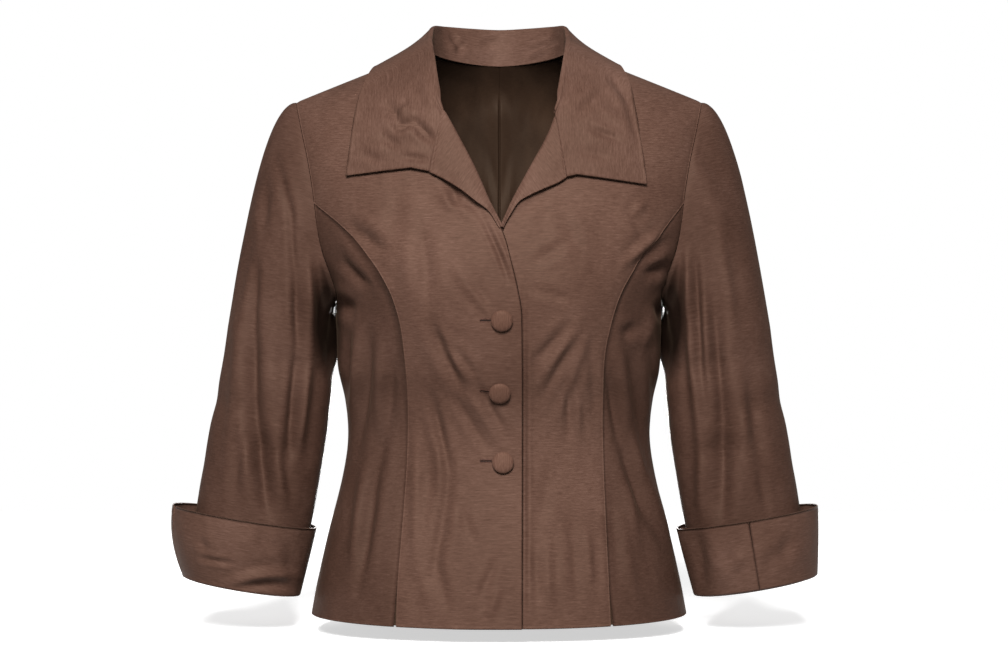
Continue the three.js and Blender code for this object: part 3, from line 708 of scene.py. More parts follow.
def sew_wall(name: str, surface: Surface, thickness: float = CLOTH,
             turned: Sequence[Edge] = ()) -> bpy.types.Object:
    """Makes a piece of cloth: its outer and inner faces and the rims between them.

    Args:
        name: The piece's name.
        surface: The outer face.
        thickness: The cloth's thickness.
        turned: The edges that are turned in, whose rims are rounded.

    Returns:
        The piece.
    """
    columns, rows = surface.points.shape[:2]
    count = columns * rows
    inner = surface.points - surface.normals * thickness
    vertices = [surface.points.reshape(-1, 3), inner.reshape(-1, 3)]
    weave = [surface.weave.reshape(-1, 2)] * 2
    number = np.arange(count).reshape(columns, rows)
    ring = np.vstack([number, number[:1]]) if surface.closed else number
    a, b, c, d = ring[:-1, :-1], ring[:-1, 1:], ring[1:, 1:], ring[1:, :-1]
    quads = [np.stack([a, b, c, d], -1).reshape(-1, 4),
             np.stack([a, d, c, b], -1).reshape(-1, 4) + count]
    edges = (Edge.TOP, Edge.BOTTOM) if surface.closed else tuple(Edge)
    total = 2 * count
    for edge in edges:
        line = ring[surface.edge(edge)]
        path = [line, line + count]
        if edge in turned:
            at, near = surface.edge(edge), surface.edge(edge, 1)
            outward = unit(surface.points[at] - surface.points[near])
            middle = (surface.points[at] + inner[at]) / 2 + outward * thickness * RIM_BULGE
            vertices.append(middle)
            weave.append(surface.weave[at])
            bulge = total + np.arange(len(middle))
            total += len(middle)
            path = [line, np.append(bulge, bulge[:1]) if surface.closed else bulge, line + count]
        flip = edge in (Edge.TOP, Edge.LAST)
        for near_line, far_line in zip(path, path[1:]):
            strip = np.stack([near_line[:-1], near_line[1:], far_line[1:], far_line[:-1]], -1)
            quads.append(strip[:, ::-1] if flip else strip)
    faces = np.concatenate(quads)
    points = np.concatenate(vertices)
    piece = add_mesh(name, points, face_out(points, faces).tolist())
    lay_weave(piece, np.concatenate(weave))
    return piece


def face_out(points: Array, faces: Array) -> Array:
    """The faces of a closed body, turned outwards as a whole.

    Args:
        points: The body's points.
        faces: Its faces, four points each.

    Returns:
        The faces.
    """
    corner = points[faces]
    first = np.einsum("ij,ij->i", corner[:, 0], np.cross(corner[:, 1], corner[:, 2])).sum()
    second = np.einsum("ij,ij->i", corner[:, 0], np.cross(corner[:, 2], corner[:, 3])).sum()
    return faces if first + second > 0 else faces[:, ::-1]


class Nodes:
    """The nodes of one material, added and joined by name."""

    def __init__(self, name: str) -> None:
        """Starts a material with its surface shader.

        Args:
            name: Its name.
        """
        self.material = bpy.data.materials.new(name)
        self.material.use_nodes = True
        self.tree = self.material.node_tree
        self.shader = self.tree.nodes["Principled BSDF"]

    def add(self, kind: str, settings: dict | None = None, **inputs: object) -> bpy.types.Node:
        """Adds a node.

        Args:
            kind: The node's type, without its first words.
            settings: The node's own properties.
            inputs: Values or sockets of its inputs, with _ for a space in a name.

        Returns:
            The node.
        """
        node = self.tree.nodes.new("ShaderNode" + kind)
        for name, value in (settings or {}).items():
            setattr(node, name, value)
        for name, value in inputs.items():
            self.feed(node.inputs[name.replace("_", " ")], value)
        return node

    def feed(self, target: bpy.types.NodeSocket, value: object) -> None:
        """Joins a socket to an input, or sets the input's value.

        Args:
            target: The input.
            value: A number, a colour or a socket.
        """
        if isinstance(value, bpy.types.NodeSocket):
            self.tree.links.new(value, target)
        else:
            target.default_value = value

    def math(self, kind: str, first: object, second: object) -> bpy.types.NodeSocket:
        """A sum, product or other arithmetic of two values.

        Args:
            kind: The kind of arithmetic.
            first: The first value.
            second: The second value.

        Returns:
            The result's socket.
        """
        node = self.tree.nodes.new("ShaderNodeMath")
        node.operation = kind
        self.feed(node.inputs[0], first)
        self.feed(node.inputs[1], second)
        return node.outputs[0]

    def shade(self, **inputs: object) -> None:
        """Sets or feeds the surface shader's inputs, with _ for a space in a name."""
        for name, value in inputs.items():
            self.feed(self.shader.inputs[name.replace("_", " ")], value)

    def blend(self, *parts: tuple[bpy.types.NodeSocket, float]) -> bpy.types.NodeSocket:
        """The sum of values, each times its weight.

        Args:
            parts: Each value with its weight.

        Returns:
            The sum's socket.
        """
        total = self.math("MULTIPLY", *parts[0])
        for value, weight in parts[1:]:
            total = self.math("ADD", total, self.math("MULTIPLY", value, weight))
        return total

    def streaks(self, along: float, across: float, detail: float = 3,
                shift: float = 0) -> bpy.types.NodeSocket:
        """Uneven streaks that run along the weft.

        Args:
            along: Streaks a metre in their own direction.
            across: Streaks a metre side by side.
            detail: The noise's detail.
            shift: Moves the pattern, so that two of them differ.

        Returns:
            Their value, about a half on average.
        """
        place = self.add("UVMap", {"uv_map": "weave"}).outputs[0]
        scaled = self.add("Mapping", Vector=place, Scale=(along, across, 1), Location=(shift, shift, 0))
        noise = self.add("TexNoise", Vector=scaled.outputs[0], Scale=1.0, Detail=detail, Roughness=0.6)
        return noise.outputs["Fac"]

    def blotches(self, per_metre: float, detail: float = 3, stretch: tuple[float, float, float] = (1, 1, 1),
                 shift: float = 0) -> bpy.types.NodeSocket:
        """Soft uneven patches that don't follow the weave.

        Args:
            per_metre: Patches a metre.
            detail: The noise's detail.
            stretch: The pattern's scale along each axis.
            shift: Moves the pattern, so that two of them differ.

        Returns:
            Their value, about a half on average.
        """
        place = self.add("TexCoord").outputs["Object"]
        scaled = self.add("Mapping", Vector=place, Scale=stretch, Location=(shift, shift, shift))
        noise = self.add("TexNoise", Vector=scaled.outputs[0], Scale=per_metre, Detail=detail,
                         Roughness=0.5, Distortion=0.4)
        return noise.outputs["Fac"]

    def ramp(self, value: bpy.types.NodeSocket, *stops: tuple[float, Colour]) -> bpy.types.NodeSocket:
        """Colours against a value.

        Args:
            value: The value that picks the colour.
            stops: Each colour with its place between 0 and 1.

        Returns:
            The colour's socket.
        """
        node = self.add("ValToRGB", Fac=value)
        elements = node.color_ramp.elements
        for element, (place, colour) in zip(elements, (stops[0], stops[-1])):
            element.position = place
            element.color = (*colour, 1)
        for place, colour in stops[1:-1]:
            elements.new(place).color = (*colour, 1)
        return node.outputs["Color"]

    def range(self, value: bpy.types.NodeSocket, low: float, high: float, start: float = 0.3,
              end: float = 0.7) -> bpy.types.NodeSocket:
        """A value drawn out between two limits."""
        node = self.add("MapRange", From_Min=start, From_Max=end, To_Min=low, To_Max=high, Value=value)
        return node.outputs["Result"]

    def bump(self, height: object, distance: float, strength: float,
             under: bpy.types.NodeSocket | None = None) -> bpy.types.NodeSocket:
        """Fine relief, on top of another one if there is one.

        Args:
            height: The relief's height, as a value.
            distance: The relief's full height, in metres.
            strength: How much of it shows.
            under: The relief that it lies on.

        Returns:
            The direction's socket.
        """
        node = self.add("Bump", Height=height, Distance=distance, Strength=strength)
        if under is not None:
            self.feed(node.inputs["Normal"], under)
        return node.outputs["Normal"]


@dataclass(frozen=True)
class SilkFinish:
    """Slubbed silk: thin streaks along the weft, soft patches and a low lustre; some finishes also have
    shade painted into the colour under the arms.
    """

    name: str
    dark: Colour
    middle: Colour
    light: Colour
    slub: tuple[float, float] = (84, 760)
    fine: tuple[float, float] = (230, 1350)
    slub_height: float = 0.00012
    ripple_height: float = 0.006
    roughness: tuple[float, float] = (0.52, 0.68)
    specular: float = 0.06
    sheen: float = 0.03
    # Shade painted under the arms: the darkest colour factor, 1 for none, then the painted patch's centre
    # and size in metres.
    painted_shade_darkest: float = 1.0
    painted_shade_place: tuple[float, float, float] = (0.169, -0.03, -0.222)
    painted_shade_size: tuple[float, float, float] = (0.0175, 0.085, 0.062)

    def make(self) -> bpy.types.Material:
        """Makes the material.

        Returns:
            The material.
        """
        nodes = Nodes(self.name)
        slub = nodes.streaks(*self.slub)
        wide = nodes.streaks(self.slub[0] * 0.6, self.slub[1] * 0.5, shift=7.3)
        thick = nodes.range(wide, 0, 1, 0.58, 0.72)
        fine = nodes.streaks(*self.fine, detail=2, shift=3.1)
        patch = nodes.blotches(13)
        tone = nodes.blend((slub, 0.38), (fine, 0.32), (patch, 0.3), (thick, 0.05))
        colour = nodes.ramp(tone, (0.38, self.dark), (0.51, self.middle), (0.64, self.light))
        large = nodes.blotches(17, 2, (1, 1, 0.55), 4.2)
        small = nodes.blotches(44, 2, (1, 1, 0.7), 1.7)
        rolled = nodes.bump(nodes.blend((large, 1), (small, 0.3)), self.ripple_height, 0.6)
        weave = nodes.blend((slub, 1), (fine, 0.5), (thick, 0.5))
        nodes.shade(
            Base_Color=self.paint_underarm_shade(nodes, colour),
            Roughness=nodes.range(nodes.blend((slub, 0.5), (patch, 0.5)), *self.roughness),
            Normal=nodes.bump(weave, self.slub_height, 0.6, rolled),
            Specular_IOR_Level=self.specular, Specular_Tint=(0.85, 0.62, 0.46, 1),
            Sheen_Weight=self.sheen, Sheen_Roughness=0.35, Sheen_Tint=(0.4, 0.26, 0.17, 1),
        )
        return nodes.material

    def paint_underarm_shade(self, nodes: Nodes, colour: bpy.types.NodeSocket) -> bpy.types.NodeSocket:
        """Paints shade into the cloth's colour in the two hollows under the arms.

        Args:
            nodes: The material's nodes.
            colour: The cloth's colour.

        Returns:
            The colour, with painted shade in the hollows where the finish has any.
        """
        if self.painted_shade_darkest == 1:
            return colour
        where = nodes.add("TexCoord").outputs["Object"]
        place = nodes.add("VectorMath", {"operation": "ABSOLUTE"}, Vector=where)
        local = nodes.add("VectorMath", {"operation": "SUBTRACT"}, Vector=place.outputs[0])
        local.inputs[1].default_value = tuple(abs(value) for value in self.painted_shade_place)
        scaled = nodes.add("VectorMath", {"operation": "DIVIDE"}, Vector=local.outputs[0])
        scaled.inputs[1].default_value = self.painted_shade_size
        distance = nodes.add("VectorMath", {"operation": "LENGTH"}, Vector=scaled.outputs[0])
        share = nodes.range(distance.outputs["Value"], self.painted_shade_darkest, 1, 0.55, 1.05)
        shade = nodes.add("CombineColor", Red=share, Green=share, Blue=share)
        mixed = nodes.add("Mix", {"data_type": "RGBA", "blend_type": "MULTIPLY"})
        nodes.feed(mixed.inputs["Factor"], 1.0)
        nodes.feed(mixed.inputs[6], colour)
        nodes.feed(mixed.inputs[7], shade.outputs[0])
        return mixed.outputs[2]


@dataclass(frozen=True)
class LiningFinish:
    """Dark satin lining with a soft vertical crush."""

    name: str
    dark: Colour
    light: Colour
    roughness: float = 0.42

    def make(self) -> bpy.types.Material:
        """Makes the material.

        Returns:
            The material.
        """
        nodes = Nodes(self.name)
        crush = nodes.blotches(26, 3, (1, 1, 0.22))
        patch = nodes.blotches(9, 2, (1, 1, 0.6), 5.1)
        weave = nodes.streaks(300, 1400, 2)
        tone = nodes.blend((crush, 0.4), (patch, 0.45), (weave, 0.15))
        rolled = nodes.bump(crush, 0.003, 0.5)
        nodes.shade(
            Base_Color=nodes.ramp(tone, (0.4, self.dark), (0.62, self.light)),
            Roughness=nodes.range(weave, self.roughness, self.roughness + 0.08),
            Normal=nodes.bump(weave, 0.0001, 0.4, rolled),
            Specular_IOR_Level=0.1, Specular_Tint=(0.85, 0.66, 0.5, 1),
        )
        return nodes.material


@dataclass(frozen=True)
class ThreadFinish:
    """Twisted sewing thread; made near black, it also serves as the painted shade of the buttonhole slits.
    """

    name: str
    dark: Colour
    light: Colour

    def make(self) -> bpy.types.Material:
        """Makes the material.

        Returns:
            The material.
        """
        nodes = Nodes(self.name)
        twist = nodes.blotches(900, 2)
        nodes.shade(
            Base_Color=nodes.ramp(twist, (0.4, self.dark), (0.6, self.light)),
            Roughness=nodes.range(twist, 0.5, 0.65),
            Normal=nodes.bump(twist, 0.0002, 0.7), Specular_IOR_Level=0.03,
        )
        return nodes.material


def hang(piece: bpy.types.Object, finish: bpy.types.Material, slot: str, *nodes: str,
         flat: tuple[float, float] | None = None, area: float | None = None, held: str = "hung") -> None:
    """Dresses a piece, hangs it on the jacket's body, hides the solids that it stands for and logs its
    faces and area.

    Args:
        piece: The piece.
        finish: Its material.
        slot: A material slot's name; not used.
        nodes: The solids that it stands for.
        flat: The width and length that a piece of cloth was cut to, in metres; not used.
        area: The cut's flat area in square metres; not used.
        held: How the cloth is held; not used.
    """
    piece.data.materials.append(finish)
    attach(piece, "root")
    if nodes:
        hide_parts(*nodes)
    mesh = piece.data
    faces = sum(polygon.area for polygon in mesh.polygons) / 2
    LOG.info("%s: %d faces, %.4f m2 a side", piece.name, len(mesh.polygons), faces)


def down_by(points: Array) -> Array:
    """Distances down each of a grid's columns, from its first row."""
    steps = np.linalg.norm(np.diff(points, axis=1), axis=-1)
    return np.concatenate([np.zeros((len(points), 1)), np.cumsum(steps, axis=1)], axis=1)


def across_by(points: Array) -> Array:
    """Distances along a grid's rows, from the first column, averaged over the rows."""
    steps = np.linalg.norm(np.diff(points, axis=0), axis=-1).mean(axis=1)
    return np.append(0, np.cumsum(steps))


@dataclass(frozen=True)
class Fronts:
    """The two fronts, from the rolled neck edge to the armhole and the princess seam."""

    columns: int = 84
    step: float = 2.5
    sweep: float = 165
    flat: tuple[float, float] = (0.215, 0.575)
    area: float = 0.082
    lap_groove: tuple[Crease, ...] = (Crease(24.4, -352, 380, 90, 4, 2.6),)
    marks: tuple[Crease, ...] = FRONT_CREASES

    def surface(self, side: Side) -> Surface:
        """The outer face of a front.

        Args:
            side: The wearer's side.

        Returns:
            The surface.
        """
        across = np.linspace(0, 1, self.columns + 1)[:, None]
        row = row_steps(self.step)[None, :]
        inner_z, outer_z = row_height("inner", row), row_height("outer", row)
        inner_x = FRONT_EDGE.at(side.word, inner_z)
        armhole = np.abs(FORM.point(np.radians(ARMHOLE.at("front", outer_z)), outer_z)[..., 0])
        seam = PRINCESS.at(side.word, outer_z) - FORM.vent_gap(outer_z)
        x = side.value * mix(inner_x, np.where(outer_z > PRINCESS_TOP, armhole, seam), across)
        z = mix(inner_z, outer_z, across)
        first = mix(ROW_HEIGHTS[0, 0], ROW_HEIGHTS[0, 1], across)
        z = z + (FORM.shoulder_height(x) - first) * np.maximum(1 - row, 0)
        angle = FORM.front_angle(x, z)
        points, normals = FORM.cloth(angle, z, FORM.lap(side, x))
        surface = Surface(points, normals, np.stack([angle * self.sweep, z], -1))
        return surface.trim(Edge.LAST, Edge.TOP)

    def build(self, finish: bpy.types.Material) -> None:
        """Makes both fronts.

        Args:
            finish: The cloth's material.
        """
        for side in Side:
            grooves = self.lap_groove if side is Side.LEFT else ()
            surface = self.surface(side).crease(self.marks + grooves, (Edge.TOP,))
            surface.sink(Edge.LAST, Edge.TOP)
            piece = sew_wall(f"silk_front_{side.word}", surface, turned=(Edge.FIRST, Edge.BOTTOM))
            hang(piece, finish, "shell_cloth", f"front_{side.word}", flat=self.flat, area=self.area)


@dataclass(frozen=True)
class SideFronts:
    """The two side fronts, from the princess seam to the side seam below the armhole."""

    columns: int = 46
    rows: int = 170
    top_curve: float = 1.7
    settling: float = 1.6
    sweep: float = 165
    flat: tuple[float, float] = (0.13, 0.41)
    area: float = 0.04
    marks: tuple[Crease, ...] = FRONT_CREASES

    def surface(self, side: Side) -> Surface:
        """The outer face of a side front.

        Args:
            side: The wearer's side.

        Returns:
            The surface.
        """
        across = np.linspace(0, 1, self.columns + 1)[:, None]
        down = np.linspace(0, 1, self.rows + 1)[None, :]
        top = mix(PRINCESS_TOP, UNDERARM, 1 - (1 - across) ** self.top_curve)
        seam_at_top = self.seam_angle(side, top)
        top_angle = np.radians(ARMHOLE.at("front", top))
        top_share = np.maximum(0, (top_angle - seam_at_top) / (SIDE_SEAM - seam_at_top))
        z = mix(top, HEM, down)
        share = mix(top_share, across, np.minimum(1, down * self.settling))
        angle = side.value * mix(self.seam_angle(side, z), SIDE_SEAM, share)
        points, normals = FORM.cloth(angle, z)
        surface = Surface(points, normals, np.stack([angle * self.sweep, z], -1))
        return surface.trim(Edge.FIRST, Edge.LAST, Edge.TOP)

    def seam_angle(self, side: Side, z: Array) -> Array:
        """The princess seam's angle from the centre front at a height."""
        return np.abs(FORM.front_angle(PRINCESS.at(side.word, z) + FORM.vent_gap(z), z))

    def build(self, finish: bpy.types.Material) -> None:
        """Makes both side fronts.

        Args:
            finish: The cloth's material.
        """
        for side in Side:
            surface = self.surface(side).crease(self.marks, (Edge.TOP,))
            surface.sink(Edge.FIRST, Edge.LAST, Edge.TOP)
            piece = sew_wall(f"silk_side_front_{side.word}", surface, turned=(Edge.BOTTOM,))
            hang(piece, finish, "shell_cloth", f"side_front_{side.word}", flat=self.flat, area=self.area)


@dataclass(frozen=True)
class VentUnderlaps:
    """The strips of lining behind the two open vents."""

    reach: float = 8.5
    top: float = -463
    bottom: float = -513.0
    behind: float = 2.1
    thickness: float = 0.8
    columns: int = 12
    rows: int = 24
    flat: tuple[float, float] = (0.017, 0.0485)
    area: float = 0.00082
    marks: tuple[Crease, ...] = FRONT_CREASES

    def build(self, finish: bpy.types.Material) -> None:
        """Makes both strips.

        Args:
            finish: The cloth's material.
        """
        across = np.linspace(-self.reach, self.reach, self.columns + 1)[:, None]
        z = np.linspace(self.top, self.bottom, self.rows + 1)[None, :] + np.zeros_like(across)
        for side in Side:
            x = side.value * (PRINCESS.at(side.word, z) + across)
            points, normals = FORM.cloth(FORM.front_angle(x, z), z, -self.behind)
            surface = Surface(points, normals, np.stack([x, z], -1)).crease(self.marks)
            piece = sew_wall(f"vent_underlap_{side.word}", surface, self.thickness)
            hang(piece, finish, "lining", flat=self.flat, area=self.area)


@dataclass(frozen=True)
class Backs:
    """The two halves of the back, and how the lining inside them follows their rows."""

    columns: int = 72
    step: float = 3.0
    sweep: float = 165
    neck_point: float = 72
    neck_height: float = 43
    neck_curve: float = 3
    passes: int = 40
    settling: float = 4
    flat: tuple[float, float] = (0.25, 0.575)
    area: float = 0.123
    marks: tuple[Crease, ...] = BACK_CREASES

    def top(self, angle: Array) -> Array:
        """The height of the back's top edge at an angle: the neck, then the shoulder.

        Args:
            angle: The angle from the centre front.

        Returns:
            The heights.
        """
        z = np.full_like(angle, self.neck_height)
        for _ in range(self.passes):
            x = np.abs(BODY.at("half", z) * np.abs(np.sin(angle)) ** FORM.section_power)
            end = FORM.shoulder_height(np.full_like(x, self.neck_point))
            neck = mix(self.neck_height, end, (x / self.neck_point) ** self.neck_curve)
            z = np.where(x < self.neck_point, neck, FORM.shoulder_height(x))
        return z

    def place(self, across: Array, row: Array) -> tuple[Array, Array]:
        """The angle and height of a place on a half back.

        Args:
            across: From 0 at the centre back to 1 at the armhole and side seam.
            row: The place between the rows.

        Returns:
            The angles and the heights.
        """
        outer_z = row_height("outer", row)
        seam = np.where(outer_z > UNDERARM, np.radians(ARMHOLE.at("back", outer_z)), SIDE_SEAM)
        tip = math.radians(ARMHOLE.columns["back"][0])
        rise = self.top(mix(math.pi, tip, across)) - mix(ROW_HEIGHTS[0, 0], ROW_HEIGHTS[0, 1], across)
        settled = (1 - row / ROW_LAST) ** self.settling
        z = mix(row_height("inner", row), outer_z, across) + rise * settled
        return mix(math.pi, seam, across), z

    def build(self, finish: bpy.types.Material) -> None:
        """Makes both halves.

        Args:
            finish: The cloth's material.
        """
        across = np.linspace(0, 1, self.columns + 1)[:, None]
        row = row_steps(self.step)[None, :]
        for side in Side:
            angle, z = self.place(across, row)
            points, normals = FORM.cloth(side.value * angle, z)
            surface = Surface(points, normals, np.stack([side.value * angle * self.sweep, z], -1))
            surface.trim(Edge.FIRST, Edge.LAST, Edge.TOP)
            surface.crease(self.marks, (Edge.FIRST, Edge.LAST, Edge.TOP))
            surface.sink(Edge.FIRST, Edge.LAST, Edge.TOP)
            piece = sew_wall(f"silk_back_{side.word}", surface, turned=(Edge.BOTTOM,))
            hang(piece, finish, "shell_cloth", f"back_{side.word}", flat=self.flat, area=self.area)


@dataclass(frozen=True)
class BackLining:
    """The lining inside the back, with a pleat down its centre."""

    backs: Backs
    inset: float = 2.4
    armhole_inset: float = 6.5
    thickness: float = 1.0
    hem_rows: int = 1
    columns: int = 60
    step: float = 4.2
    pleat: tuple[float, float] = (3.4, 10)
    pleat_slit: tuple[float, float] = (3.6, 0.75)
    pleat_top: tuple[float, float] = (-20, 10)
    centre_columns: tuple[float, ...] = (0.001, 0.0022, 0.0034, 0.005, 0.008, 0.012, 0.02, 0.03)
    flat: tuple[float, float] = (0.49, 0.55)
    area: float = 0.235
    marks: tuple[Crease, ...] = LINING_CREASES

    def build(self, finish: bpy.types.Material) -> None:
        """Makes the lining.

        Args:
            finish: The cloth's material.
        """
        half = np.sort(np.append(np.linspace(0, 1, self.columns + 1), self.centre_columns))
        share = np.concatenate([-half[:0:-1], half])[:, None]
        row = row_steps(self.step)
        row = row[row <= ROW_LAST - self.hem_rows][None, :]
        angle, z = self.backs.place(np.abs(share), row)
        sign = np.where(share < 0, -1, 1)
        inset = mix(self.inset, self.armhole_inset, share**2)
        points, normals = FORM.cloth(sign * angle, z, -inset)
        surface = Surface(points, normals, np.stack([sign * angle * self.backs.sweep, z], -1))
        surface.trim(Edge.FIRST, Edge.LAST, distance=0.4)
        fold, slit = (depth * np.exp(-((points[..., 0] / width) ** 2))
                      for depth, width in (self.pleat, self.pleat_slit))
        surface.raise_by((slit - fold) * smooth(-z, *self.pleat_top))
        surface.crease(self.marks + self.backs.marks, (Edge.FIRST, Edge.LAST, Edge.TOP))
        piece = sew_wall("lining_back", surface, self.thickness)
        hang(piece, finish, "lining", "back_lining", flat=self.flat, area=self.area)


@dataclass(frozen=True)
class Sleeves:
    """The two set-in sleeves: the crown from the armhole and the tube to the cuff's fold."""

    tilt: float = math.radians(9.5)
    shift: dict[str, float] = field(default_factory=lambda: {"right": -0.8, "left": -2.4})
    shift_reach: float = 90
    gap: float = 0.1
    around: int = 150
    crown_steps: int = 46
    crown_spacing: float = 1.25
    crown_drop: float = 0.1
    crown_swell: tuple[float, float] = (0.09, 0.03)
    crown_lift: float = 1.6
    crown_settle: tuple[float, float] = (0.45, 0.05)
    tube_steps: int = 108
    weave_radius: float = 50
    flat: tuple[float, float] = (0.345, 0.43)
    area: float = 0.128
    marks: tuple[Crease, ...] = SLEEVE_CREASES
    axis: Rows = field(default_factory=lambda: Rows(
        "z centre forward half depth",
        (-235, 217.5, 0, 54.1, 47), (-270, 221, -1, 56, 46), (-330, 231, -2, 58, 45),
        (-390, 241, -4, 58.2, 44), (-440, 249.5, -6, 57, 44), (-485, 257, -8, 55.5, 43),
    ))
    folds: tuple[tuple[float, ...], ...] = (
        (-205, 65, 16, 40, 3.2), (-262, 120, 13, 45, 3.4), (-310, 40, 14, 50, 2.6),
        (-345, 105, 12, 40, 3), (-300, 250, 14, 55, 3), (-372, 300, 15, 50, 2.6),
        (-236, 212, 24, 24, -12), (-238, 170, 32, 25, 6),
    )

    def fold(self, z: Array, degrees: Array) -> Array:
        """How deep the sleeve's large folds are at a height and an angle.

        Args:
            z: The height on the sleeve's axis.
            degrees: The angle from the sleeve's outer side.

        Returns:
            The depths.
        """
        total = np.zeros(np.broadcast(z, degrees).shape)
        for height, around, high, wide, depth in self.folds:
            apart = np.abs(degrees - around) % 360
            turn = np.minimum(apart, 360 - apart)
            total = total + depth * np.exp(-(((z - height) / high) ** 2) - (turn / wide) ** 2)
        return total

    def tube(self, side: Side, height: Array, angle: Array, ease: Array | float = 0) -> Array:
        """Points of the sleeve's tube.

        Args:
            side: The sleeve.
            height: The height on its axis.
            angle: The angle from its outer side, with the front at a quarter turn.
            ease: How far the points stand off it.

        Returns:
            The points.
        """
        fold = self.fold(height, np.degrees(angle))
        across = (self.axis.at("half", height) + ease - fold) * np.cos(angle)
        down = np.clip((self.axis.heights[0] - height) / self.shift_reach, 0, 1)
        centre = self.axis.at("centre", height) + self.shift[side.word] * down
        x = side.value * (centre + across * math.cos(self.tilt))
        y = self.axis.at("forward", height) - (self.axis.at("depth", height) + ease - fold) * np.sin(angle)
        return np.stack(np.broadcast_arrays(x, y, height + across * math.sin(self.tilt)), -1)

    def armhole(self, side: Side, share: Array) -> Array:
        """Points of the armhole, from the shoulder tip down the front and up the back.

        Args:
            side: The wearer's side.
            share: How far round the armhole, from 0 to 1.

        Returns:
            The points.
        """
        ahead = share <= 0.5
        down = np.where(ahead, share, 1 - share) * 2
        z = mix(ARMHOLE.heights[0], UNDERARM, np.sin(down * math.pi / 2) ** 2)
        angle = np.where(ahead, ARMHOLE.at("front", z), ARMHOLE.at("back", z))
        return FORM.point(side.value * np.radians(angle), z)

    def surface(self, side: Side) -> Surface:
        """The outer face of a sleeve, as columns round it.

        Args:
            side: The wearer's side.

        Returns:
            The surface.
        """
        share = np.arange(self.around)[:, None] / self.around
        angle = share * 2 * math.pi
        top, bottom = self.axis.heights[0], self.axis.heights[-1]
        end = self.tube(side, np.full_like(angle, top), angle)
        out = np.array([side.value, 0, 0], float)
        start = self.armhole(side, share) + out * self.gap
        reach = np.linalg.norm(end - start, axis=-1, keepdims=True)
        outer = np.maximum(0, np.cos(angle))[..., None]
        away = out + outer * np.array([0, 0, -self.crown_drop])
        swell = self.crown_swell[0] + self.crown_swell[1] * outer
        first = start + away * (swell * reach + self.crown_lift)
        up = np.array([-side.value * math.sin(self.tilt), 0, math.cos(self.tilt)])
        second = end + up * (self.crown_settle[0] + self.crown_settle[1] * outer) * reach
        t = (np.linspace(0, 1, self.crown_steps, endpoint=False) ** self.crown_spacing)[None, :, None]
        crown = ((1 - t) ** 3 * start + 3 * (1 - t) ** 2 * t * first
                 + 3 * (1 - t) * t**2 * second + t**3 * end)
        height = np.linspace(top, bottom, self.tube_steps + 1)[None, :]
        points = np.concatenate([crown, self.tube(side, height, angle)], axis=1)
        normals = grid_normals(points, side.value, closed=True)
        down = down_by(points)
        girth = 2 * math.pi * self.weave_radius
        weave = np.stack([np.broadcast_to(share * girth, down.shape), down[:, -1:] - down], -1)
        return Surface(points, normals, weave, closed=True)

    def build(self, finish: bpy.types.Material) -> None:
        """Makes both sleeves.

        Args:
            finish: The cloth's material.
        """
        for side in Side:
            surface = self.surface(side).crease(self.marks, (Edge.TOP,))
            surface.sink(Edge.TOP, depth=0.5)
            piece = sew_wall(f"silk_sleeve_{side.word}", surface, turned=(Edge.BOTTOM,))
            hang(piece, finish, "shell_cloth", f"sleeve_{side.word}", flat=self.flat, area=self.area)


@dataclass(frozen=True)
class CuffSizes:
    """How far a turned-back cuff stands off its sleeve, and where its vent is."""

    top_outer: float
    top_inner: float
    fold_outer: float
    fold_inner: float
    vent: float
    vent_half: float
    outer_curve: float


